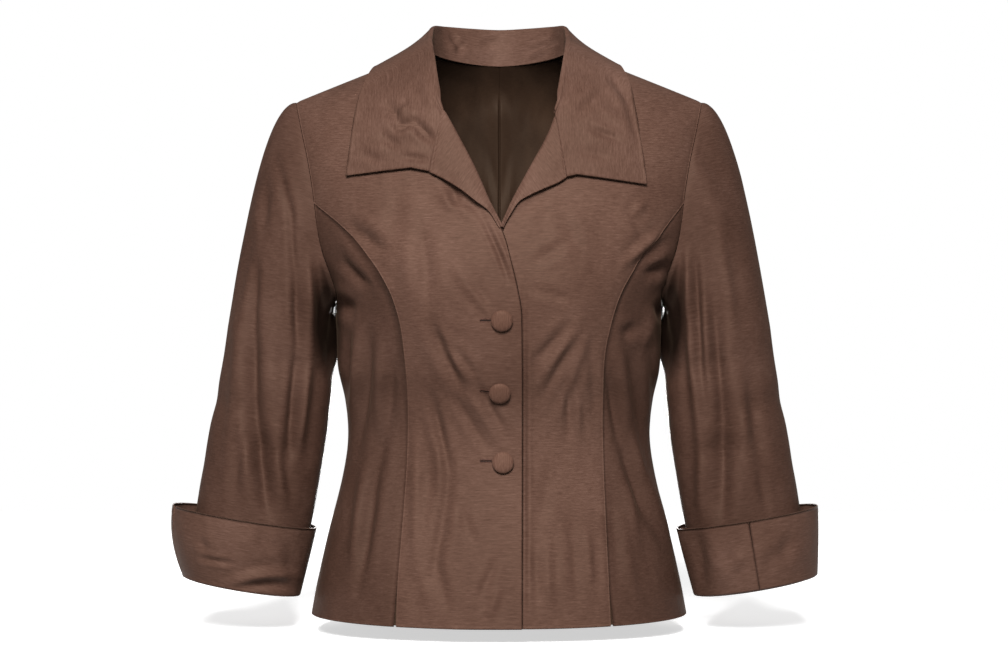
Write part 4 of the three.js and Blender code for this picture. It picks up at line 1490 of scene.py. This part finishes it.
@dataclass(frozen=True)
class Cuffs:
    """The two wide cuffs, turned back over the sleeves and open at a vent."""

    sleeves: Sleeves
    right: CuffSizes = CuffSizes(24, 6, 3.4, 3.2, 18, 1.5, 2.1)
    left: CuffSizes = CuffSizes(18, 9.5, 8, 5.5, 90, 0.15, 1.2)
    top: float = -417
    fold: float = -485
    fold_standoff: float = 2.2
    fold_start: float = 0.96
    curve: float = 1.2
    vent_closed: float = 0.5
    vent_span: float = 18
    around: int = 180
    steps: int = 28
    flat: tuple[float, float] = (0.37, 0.07)
    area: float = 0.0255
    marks: tuple[Crease, ...] = CUFF_CREASES

    def surface(self, side: Side) -> Surface:
        """The outer face of a cuff, from one edge of its vent round to the other.

        Args:
            side: The wearer's side.

        Returns:
            The surface.
        """
        sizes = self.right if side is Side.RIGHT else self.left
        turn = np.linspace(0, 360, self.around + 1)[:, None]
        down = between([0, self.fold_start, 1], [self.steps, 4])[None, :]
        to_edge = np.minimum(turn, 360 - turn) / self.vent_span
        sign = np.where(turn < 180, 1, -1) * np.maximum(1 - to_edge, 0)
        opening = 1 - smooth(down, 0, self.vent_closed)
        shift = sign * (CUFF_GAP + sizes.vent_half * opening)
        angle = np.radians(turn + sizes.vent) + shift / self.sleeves.axis.columns["half"][0]
        outward = (1 + np.cos(angle)) / 2
        top_ease = mix(sizes.top_inner, sizes.top_outer, outward)
        fold_ease = mix(sizes.fold_inner, sizes.fold_outer, outward)
        curve = mix(self.curve, sizes.outer_curve, outward)
        ease = mix(top_ease, fold_ease, np.minimum(down, self.fold_start) ** curve)
        last = np.clip((down - self.fold_start) / (1 - self.fold_start), 0, 1)
        ease = mix(ease, self.fold_standoff, 1 - np.sqrt(1 - last**2))
        height = mix(self.top, self.fold, down) + np.zeros_like(angle)
        points = self.sleeves.tube(side, height, angle, ease)
        normals = grid_normals(points, side.value)
        girth = angle / math.pi * 180
        return Surface(points, normals, np.stack([girth, np.broadcast_to(height, girth.shape)], -1))

    def build(self, finish: bpy.types.Material) -> None:
        """Makes both cuffs.

        Args:
            finish: The cloth's material.
        """
        for side in Side:
            surface = self.surface(side).crease(self.marks, (Edge.BOTTOM,))
            piece = sew_wall(f"silk_cuff_{side.word}", surface, turned=(Edge.TOP, Edge.FIRST, Edge.LAST))
            hang(piece, finish, "trim_cloth", f"cuff_{side.word}", flat=self.flat, area=self.area,
                 held="folded")


@dataclass(frozen=True)
class Station:
    """A place along the collar: its stand's seam, its fold and its outer edge on each side.

    The edge lies on the front or the back at a distance from the centre and a height.
    """

    stand: tuple[float, float, float]
    fold: tuple[float, float, float]
    face: Face
    right: tuple[float, float]
    left: tuple[float, float]


STATIONS = (
    Station((0, 67, 44.2), (0, 72, 79), Face.BACK, (0, 22), (0, 22)),
    Station((30, 54.6, 45.2), (32, 64, 79.5), Face.BACK, (50, 22), (50, 22)),
    Station((54.5, 35, 47.8), (56, 50, 79.5), Face.BACK, (88, 21.5), (88, 21.5)),
    Station((65, 15, 49.4), (67, 26, 77), Face.BACK, (110, 24.5), (108, 25)),
    Station((67.6, 8, 50), (68.5, 14, 71.5), Face.BACK, (119, 28.5), (116, 29.5)),
    Station((68.7, 0, 49.4), (69, 2, 64.5), Face.FRONT, (122, 29.6), (118.5, 31)),
    Station((69, -15, 46.5), (68.8, -10, 60), Face.FRONT, (127, 20), (122.5, 22)),
    Station((68.4, -29, 39.4), (68, -22, 54), Face.FRONT, (133, 5), (127, 8)),
    Station((67, -51, 23.6), (65, -46, 36), Face.FRONT, (138.5, -22), (132, -20)),
    Station((63.6, -65.5, 8), (61.5, -64, 18), Face.FRONT, (142.5, -52), (137, -55)),
    Station((58.6, -74.6, -5), (59, -77, 2), Face.FRONT, (146, -81.5), (141, -90)),
    Station((56.4, -77.5, -11), (57.4, -81.6, -9), Face.FRONT, (84, -75.2), (74.5, -81.8)),
    Station((53.4, -81, -19.5), (54.2, -85, -18.4), Face.FRONT, (66, -79), (64.5, -84.2)),
)


@dataclass(frozen=True)
class Collar:
    """The wide collar, from one gorge seam round the neck to the other."""

    tip: int = 10
    lift: float = 4.6
    crest_half: float = 2.6
    crest_drop: float = 1.4
    span_steps: tuple[int, ...] = (14, 12, 14, 12, 6, 6, 8, 9, 12, 14, 14, 9)
    rise_steps: int = 15
    under_stand: float = 3.4
    under_in: float = 1.5
    under_until: tuple[float, float] = (5, 8)
    turn_of_weave: tuple[float, float] = (4.5, 7.5)
    weave_shift: float = 300
    crest_points: int = 7
    fall_steps: int = 24
    easing_passes: int = 6
    easing: float = 0.5
    eased_from: tuple[float, float] = (6, 10)
    flat: tuple[float, float] = (0.53, 0.13)
    area: float = 0.05
    marks: tuple[Crease, ...] = COLLAR_CREASES

    def on_body(self, face: Face, points: Array) -> Array:
        """The body's points, moved out by the collar's lift, at given X and Z.

        Args:
            face: The front or the back.
            points: Points with the X and Z that are looked up.

        Returns:
            The moved points.
        """
        x, z = points[..., 0], points[..., 2]
        angle = FORM.front_angle(x, z)
        if face is Face.BACK:
            angle = np.where(x >= 0, math.pi, -math.pi) - angle
        return FORM.cloth(angle, z, self.lift)[0]

    def outside(self, points: Array, backward: Array) -> Array:
        """Keeps points of the fall outside the front or the back that they lie on.

        Args:
            points: The fall's points.
            backward: Which points lie on the back.

        Returns:
            The points, none of them inside the body.
        """
        ahead = self.on_body(Face.FRONT, points)[..., 1]
        behind = self.on_body(Face.BACK, points)[..., 1]
        y = points[..., 1]
        held = np.where(backward, np.maximum(y, behind), np.minimum(y, ahead))
        over = points[..., 2] > FORM.shoulder_height(points[..., 0])
        return np.stack([points[..., 0], np.where(over, y, held), points[..., 2]], -1)

    def places(self) -> Array:
        """The places of a half's columns, counted in stations from the centre back."""
        return between(range(len(STATIONS)), self.span_steps)

    def run(self, knots: Array, places: Array) -> Array:
        """A smooth run through the stations' points that also goes on across the centre."""
        other = knots[1:2] * np.array([-1, 1, 1])
        return through(np.vstack([other, knots]), places + 1)

    def half(self, side: Side) -> Array:
        """The points of the collar's half, as columns from the centre back.

        Args:
            side: The wearer's side.

        Returns:
            The points, column by column.
        """
        mirror = np.array([side.value, 1, 1])
        stand_knots = np.array([s.stand for s in STATIONS]) * mirror
        fold_knots = np.array([s.fold for s in STATIONS]) * mirror
        edge_at = [s.right if side is Side.RIGHT else s.left for s in STATIONS]
        edge_knots = np.array([self.on_body(s.face, np.array([side.value * x, 0.0, z]))
                               for s, (x, z) in zip(STATIONS, edge_at)])
        places = self.places()
        stands, folds = self.run(stand_knots, places), self.run(fold_knots, places)
        round_neck = places <= self.tip
        edges = np.array([[np.interp(p, range(len(STATIONS)), edge_knots[:, k]) for k in range(3)]
                          for p in places])
        edges[round_neck] = self.run(edge_knots[:self.tip + 1], places[round_neck])
        rise = unit(folds - stands)
        out = edges - stands
        out = unit(out - rise * np.sum(out * rise, axis=1, keepdims=True))
        columns = []
        bends = np.radians(np.linspace(-90, 90, self.crest_points))
        for stand, fold, edge, up, away, place in zip(stands, folds, edges, rise, out, places):
            crest = [fold + away * self.crest_half * math.sin(b) - up * self.crest_drop * (1 - math.cos(b))
                     for b in bends]
            under = 1 - smooth(place, *self.under_until)
            inward = unit(np.array([-stand[0], -stand[1], 0]))
            foot = stand - up * self.under_stand * under + inward * self.under_in * under
            rising = [mix(foot, crest[0], k / self.rise_steps) for k in range(self.rise_steps)]
            shares = np.linspace(0, 1, self.fall_steps + 1)[1:, None]
            fall = mix(crest[-1], edge, shares)
            backward = np.full(len(fall), STATIONS[int(place + 0.5)].face is Face.BACK)
            columns.append(np.vstack([rising, crest, self.outside(fall, backward)]))
        return np.array(columns)

    def surface(self) -> Surface:
        """The face of the collar that shows: inside the stand, over the fold, on the fall.

        Returns:
            The surface.
        """
        right, left = self.half(Side.RIGHT), self.half(Side.LEFT)
        points = np.concatenate([right[::-1], left[1:]])
        eased = points.copy()
        for _ in range(self.easing_passes):
            middle = (eased[:-2, 1:-1] + eased[2:, 1:-1] + eased[1:-1, :-2] + eased[1:-1, 2:]) / 4
            eased[1:-1, 1:-1] = mix(eased[1:-1, 1:-1], middle, self.easing)
        lifted = smooth(np.arange(points.shape[1]) - self.rise_steps, *self.eased_from)[None, :, None]
        points = mix(points, eased, lifted)
        normals = grid_normals(points, 1)
        down = down_by(points)
        near_fold = points[:, self.rise_steps + 4:self.rise_steps + 10]
        round_neck = across_by(near_fold)[:, None] + np.zeros_like(down)
        places = np.concatenate([self.places()[::-1], self.places()[1:]])[:, None, None]
        straight = np.stack([points[..., 2] + self.weave_shift, np.abs(points[..., 0])], -1)
        weave = mix(np.stack([round_neck, down], -1), straight, smooth(places, *self.turn_of_weave))
        return Surface(points, normals, weave)

    def build(self, finish: bpy.types.Material) -> None:
        """Makes the collar.

        Args:
            finish: The cloth's material.
        """
        surface = self.surface().crease(self.marks, (Edge.TOP,))
        piece = sew_wall("silk_collar", surface, turned=(Edge.BOTTOM,))
        hang(piece, finish, "trim_cloth", "collar", flat=self.flat, area=self.area, held="folded")


LAPEL_ROLL = {
    Side.RIGHT: np.array([
        (-19, 64.8, -80.4), (-47, 51.5, -87.5), (-76, 36, -97.5), (-100, 21, -109.5), (-118, 9.5, -118.5),
        (-133, -0.8, -134),
    ]),
    Side.LEFT: np.array([
        (-24, 63.2, -85.6), (-38, 56.5, -90), (-60, 44, -95.5), (-82, 30, -102), (-100, 19, -109),
        (-115, 11.5, -120.5), (-127, 6, -130), (-136, 3.1, -137.5),
    ]),
}


@dataclass(frozen=True)
class Lapels:
    """The two narrow lapels, rolled out from the neck edge over the fronts.

    LAPEL_ROLL gives, down the roll line, its height and the outer edge's X and Z.
    """

    lifts: tuple[float, ...] = (3.0, 4.0, 4.7, 4.9, 4.6)
    roll_centre: float = 0.15
    roll_steps: int = 6
    under_collar: float = 1.6
    flattening: tuple[float, float] = (1.6, 0.0)
    flat_lift: float = 0.55
    weave_turn: float = math.radians(56)
    span_steps: int = 12
    across_steps: int = 22
    flat: tuple[float, float] = (0.066, 0.125)
    left_flat: tuple[float, float] = (0.066, 0.122)
    area: float = 0.0033
    left_area: float = 0.003

    def surface(self, side: Side) -> Surface:
        """The face of a lapel that shows, from inside its roll to its outer edge.

        Args:
            side: The wearer's side.

        Returns:
            The surface.
        """
        knots = LAPEL_ROLL[side]
        places = np.linspace(0, len(knots) - 1, (len(knots) - 1) * self.span_steps + 1)
        roll, edge_x, edge_z = (column[:, None] for column in through(knots, places).T)
        shares = np.linspace(0, 1, self.across_steps + 1)
        steps = len(self.lifts) - 1
        knot_lifts = np.array([(k / steps, lift, 0) for k, lift in enumerate(self.lifts)])
        lifts = through(knot_lifts, shares * steps)[:, 1]
        turn = np.radians(np.linspace(180, 0, self.roll_steps, endpoint=False))
        radius = self.lifts[0] - self.roll_centre
        lifts = np.append(self.roll_centre + radius * np.cos(turn), lifts)[None, :]
        left_over = (len(knots) - 1 - places)[:, None]
        lifts = mix(self.flat_lift, lifts, 1 - smooth(-left_over, -self.flattening[0], -self.flattening[1]))
        offset = np.append(radius * 0.9 * np.sin(turn), np.zeros(len(shares)))[None, :]
        shares = np.append(np.zeros(len(turn)), shares)[None, :]
        roll_x = FRONT_EDGE.at(side.word, roll)
        x = side.value * (mix(roll_x, edge_x, shares) - offset)
        z = mix(roll, edge_z, shares)
        points = FORM.cloth(FORM.front_angle(x, z), z, lifts + FORM.lap(side, x))[0]
        normals = grid_normals(points, side.value)
        turned = side.value * points[..., 0]
        level, up = math.cos(self.weave_turn), math.sin(self.weave_turn)
        weave = np.stack([-turned * level + points[..., 2] * up, turned * up + points[..., 2] * level], -1)
        surface = Surface(points, normals, weave)
        return surface.trim(Edge.FIRST, distance=-self.under_collar)

    def build(self, finish: bpy.types.Material) -> None:
        """Makes both lapels.

        Args:
            finish: The cloth's material.
        """
        for side in Side:
            surface = self.surface(side).sink(Edge.FIRST, depth=1.1, width=1.6)
            piece = sew_wall(f"silk_lapel_{side.word}", surface, turned=(Edge.BOTTOM, Edge.LAST))
            flat = self.flat if side is Side.RIGHT else self.left_flat
            area = self.area if side is Side.RIGHT else self.left_area
            hang(piece, finish, "trim_cloth", f"lapel_{side.word}", flat=flat, area=area, held="folded")


@dataclass(frozen=True)
class Buttons:
    """Three covered buttons down the wearer's right front, each with its bound buttonhole."""

    places: tuple[tuple[float, float, float], ...] = ((3, -221, 0.5), (1, -289, 1.2), (4, -358, 0.8))
    holes: tuple[tuple[float, float, float], ...] = (
        (-18, -220.6, 10.5), (-18.2, -288, 9.5), (-18.2, -356.4, 11.5))
    profile: tuple[tuple[float, float], ...] = (
        (0, 0), (6.6, 0), (8.6, 0.35), (10, 1.0), (10.45, 1.9), (10.2, 2.8), (9.4, 3.6), (8.1, 4.3),
        (6.2, 4.8), (3.4, 5.1), (0, 5.2),
    )
    around: int = 72
    profile_points: int = 41
    smallest: float = 0.05
    hole_points: int = 30
    hole_end: float = 1.2
    hole_narrow: float = 0.55
    hole_thickness: float = 0.3
    edging: tuple[float, ...] = (0.1, 0.55, 0.72, 0.4, 0.4, 0.72, 0.55, 0.1)
    edging_half: float = 2.1
    slit: tuple[float, ...] = (0.62, 0.7, 0.62)
    slit_half: float = 0.7

    def seat(self, x: float, z: float, gap: float) -> tuple[Array, Array]:
        """A point on the wearer's right front, and the cloth's direction there.

        Args:
            x: The distance from the centre, to the wearer's left.
            z: The height.
            gap: The distance to the cloth.

        Returns:
            The point and the direction.
        """
        z = np.array(z)
        point, up = FORM.cloth(FORM.front_angle(np.array(float(x)), z), z, FORM.lap_lift + gap)
        return point + up * relief_of(FRONT_CREASES, point, up), up

    def button(self, number: int, finish: bpy.types.Material) -> None:
        """Makes one button, a disc with its cloth drawn over a rounded rim.

        Args:
            number: Which of the three it is, from 0.
            finish: Its material.
        """
        x, z, gap = self.places[number]
        seat, up = self.seat(x, z, gap)
        side = unit(np.cross(np.array([0, 0, 1.0]), up))
        top = np.cross(up, side)
        knots = np.array([(r, h, 0) for r, h in self.profile])
        line = through(knots, np.linspace(0, len(knots) - 1, self.profile_points))[1:-1]
        line[:, 0] = np.clip(line[:, 0], self.smallest, None)
        turn = np.linspace(0, 2 * math.pi, self.around, endpoint=False)[:, None]
        radius, height = line[:, 0][None, :], line[:, 1][None, :]
        across, rise = radius * np.cos(turn), radius * np.sin(turn)
        points = (seat + across[..., None] * side + rise[..., None] * top
                  + (height + np.zeros_like(turn))[..., None] * up)
        grid = points.reshape(-1, 3)
        rows = points.shape[1]
        index = np.arange(len(grid)).reshape(self.around, rows)
        ring = np.vstack([index, index[:1]])
        quads = np.stack([ring[:-1, :-1], ring[1:, :-1], ring[1:, 1:], ring[:-1, 1:]], -1).reshape(-1, 4)
        faces = [tuple(q) for q in face_out(grid, quads).tolist()]
        faces += [tuple(index[::-1, 0].tolist()), tuple(index[:, -1].tolist())]
        piece = add_mesh(f"covered_button_{number + 1}", grid, faces)
        lay_weave(piece, np.stack([rise, across], -1).reshape(-1, 2))
        hang(piece, finish, "button_cloth", f"button_{number + 1}")

    def hole(self, number: int, edging: bpy.types.Material, slit: bpy.types.Material) -> None:
        """Makes one buttonhole: two stitched edges with a near-black strip of painted shade for the slit
        between them.

        Args:
            number: Which of the three it is, from 0.
            edging: The thread's material.
            slit: The slit's material, a near-black painted shade.
        """
        x, z, length = self.holes[number]
        along = np.linspace(0, length, self.hole_points)
        for name, half, lifts, finish in (
            ("edging", self.edging_half, self.edging, edging),
            ("slit", self.slit_half, self.slit, slit),
        ):
            rise = np.linspace(half, -half, len(lifts))
            xs, zs = np.meshgrid(x + along, z + rise, indexing="ij")
            ends = np.minimum(along, self.hole_end)[:, None] / self.hole_end
            zs = z + (zs - z) * mix(self.hole_narrow, 1, ends)
            angle = FORM.front_angle(xs, zs)
            points, normals = FORM.cloth(angle, zs, FORM.lap_lift + np.array(lifts)[None, :])
            surface = Surface(points, normals, np.stack([zs, xs], -1)).crease(FRONT_CREASES)
            piece = sew_wall(f"buttonhole_{name}_{number + 1}", surface, self.hole_thickness)
            hang(piece, finish, "button_cloth")

    def build(self, finish: bpy.types.Material, edging: bpy.types.Material,
              slit: bpy.types.Material) -> None:
        """Makes the buttons and their buttonholes.

        Args:
            finish: The buttons' material.
            edging: The thread's material.
            slit: The slit's material, a near-black painted shade.
        """
        for number in range(len(self.places)):
            self.button(number, finish)
            self.hole(number, edging, slit)


@dataclass(frozen=True)
class Studio:
    """The pale floor and the soft light, in metres, and the camera."""

    floor_height: float = -0.531
    floor_size: float = 3.2
    sky: float = 0.3
    key_power: float = 330
    floor_glow: float = 0.6
    fill_power: float = 110

    def build(self) -> None:
        """Sets up the floor, light and camera."""
        floor = self.floor()
        self.light("key", (-0.16, -2.4, 1.2), (0, 0, -0.2), 1.1, self.key_power)
        fill = self.light("fill", (0, 2.3, -0.25), (0, 0, -0.2), 0.5, self.fill_power)
        self.spare(fill, floor)
        bpy.context.scene.view_settings.view_transform = "Standard"
        self.surround()
        data = bpy.data.cameras.new("camera")
        data.lens, data.sensor_width = LENS, SENSOR
        camera = bpy.data.objects.new("camera", data)
        camera.location = np.array(CAMERA) * METRE
        camera.rotation_euler = (math.pi / 2, 0, 0)
        bpy.context.scene.collection.objects.link(camera)
        bpy.context.scene.camera = camera

    def surround(self) -> None:
        """Shows plain white all round, and lights the jacket from it more dimly."""
        world = bpy.data.worlds.new("studio")
        world.use_nodes = True
        nodes, links = world.node_tree.nodes, world.node_tree.links
        path = nodes.new("ShaderNodeLightPath")
        strength = nodes.new("ShaderNodeMapRange")
        strength.inputs["To Min"].default_value = self.sky
        strength.inputs["To Max"].default_value = 1.0
        links.new(path.outputs["Is Camera Ray"], strength.inputs["Value"])
        links.new(strength.outputs["Result"], nodes["Background"].inputs["Strength"])
        nodes["Background"].inputs["Color"].default_value = (1, 1, 1, 1)
        bpy.context.scene.world = world

    def floor(self) -> bpy.types.Object:
        """Lays a plain white floor just under the hem.

        Returns:
            The floor.
        """
        half = self.floor_size / 2 / METRE
        corners = np.array([(-half, -half), (half, -half), (half, half), (-half, half)])
        points = np.column_stack([corners, np.full(4, self.floor_height / METRE)])
        floor = add_mesh("studio_floor", points, [(0, 1, 2, 3)])
        nodes = Nodes("studio_floor")
        tone = nodes.ramp(nodes.blotches(2), (0.3, (0.86, 0.86, 0.86)), (0.7, (0.88, 0.88, 0.88)))
        nodes.shade(Base_Color=tone, Roughness=0.9, Specular_IOR_Level=0.1,
                    Emission_Color=(1, 1, 1, 1), Emission_Strength=self.floor_glow)
        floor.data.materials.append(nodes.material)
        floor.visible_diffuse = False
        return floor

    def spare(self, lamp: bpy.types.Object, floor: bpy.types.Object) -> None:
        """Keeps a light off the floor, so that the floor keeps its shadows.

        Args:
            lamp: The light.
            floor: The floor.
        """
        unlit = bpy.data.collections.new(f"unlit_by_{lamp.name}")
        unlit.objects.link(floor)
        unlit.collection_objects[0].light_linking.link_state = "EXCLUDE"
        lamp.light_linking.receiver_collection = unlit

    def light(self, name: str, place: tuple[float, float, float], aim: tuple[float, float, float],
              size: float, power: float) -> bpy.types.Object:
        """Hangs a square soft light that faces a point.

        Args:
            name: Its name.
            place: Where it hangs.
            aim: The point that it faces.
            size: The length of its sides.
            power: Its power in watts.

        Returns:
            The light.
        """
        data = bpy.data.lights.new(name, "AREA")
        data.size, data.energy = size, power
        lamp = bpy.data.objects.new(name, data)
        lamp.location = place
        away = np.array(place) - np.array(aim)
        level = math.hypot(away[0], away[1])
        lamp.rotation_euler = (math.atan2(level, away[2]), 0, math.atan2(away[0], -away[1]))
        bpy.context.scene.collection.objects.link(lamp)
        return lamp


def main() -> None:
    """Builds the studio and the jacket's pieces in order."""
    logging.basicConfig(level=logging.INFO, format="%(message)s")
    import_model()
    Studio().build()
    shell = SilkFinish(
        "silk_shell", (0.0257, 0.0125, 0.0087), (0.038, 0.0195, 0.0138), (0.0532, 0.029, 0.0214)).make()
    # The side fronts and sleeves wear a darker copy of the shell silk: painted shade for the sides that
    # turn away from the light, with painted shade under the arms as well.
    side = SilkFinish(
        "silk_shaded_side", (0.0189, 0.0091, 0.0062), (0.028, 0.014, 0.0099), (0.039, 0.0209, 0.0153),
        painted_shade_darkest=0.12).make()
    trim = SilkFinish(
        "silk_trim", (0.0262, 0.0127, 0.0088), (0.0384, 0.0199, 0.0142), (0.0532, 0.029, 0.0218)).make()
    button = SilkFinish(
        "silk_button", (0.03, 0.014, 0.0095), (0.044, 0.022, 0.0153), (0.062, 0.033, 0.024),
        slub=(60, 900), ripple_height=0.0002).make()
    lining = LiningFinish("satin_lining", (0.0092, 0.0049, 0.003), (0.0195, 0.0107, 0.0065)).make()
    edging = ThreadFinish("buttonhole_thread", (0.024, 0.011, 0.0075), (0.042, 0.02, 0.014)).make()
    # The buttonhole slits are near-black strips of painted shade.
    slit = ThreadFinish("slit_shade", (0.004, 0.002, 0.0014), (0.006, 0.003, 0.002)).make()
    Fronts().build(shell)
    SideFronts().build(side)
    VentUnderlaps().build(lining)
    backs = Backs()
    backs.build(shell)
    BackLining(backs).build(lining)
    sleeves = Sleeves()
    sleeves.build(side)
    Cuffs(sleeves).build(trim)
    Collar().build(trim)
    Lapels().build(trim)
    Buttons().build(button, edging, slit)
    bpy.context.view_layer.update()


if __name__ == "__main__":
    main()
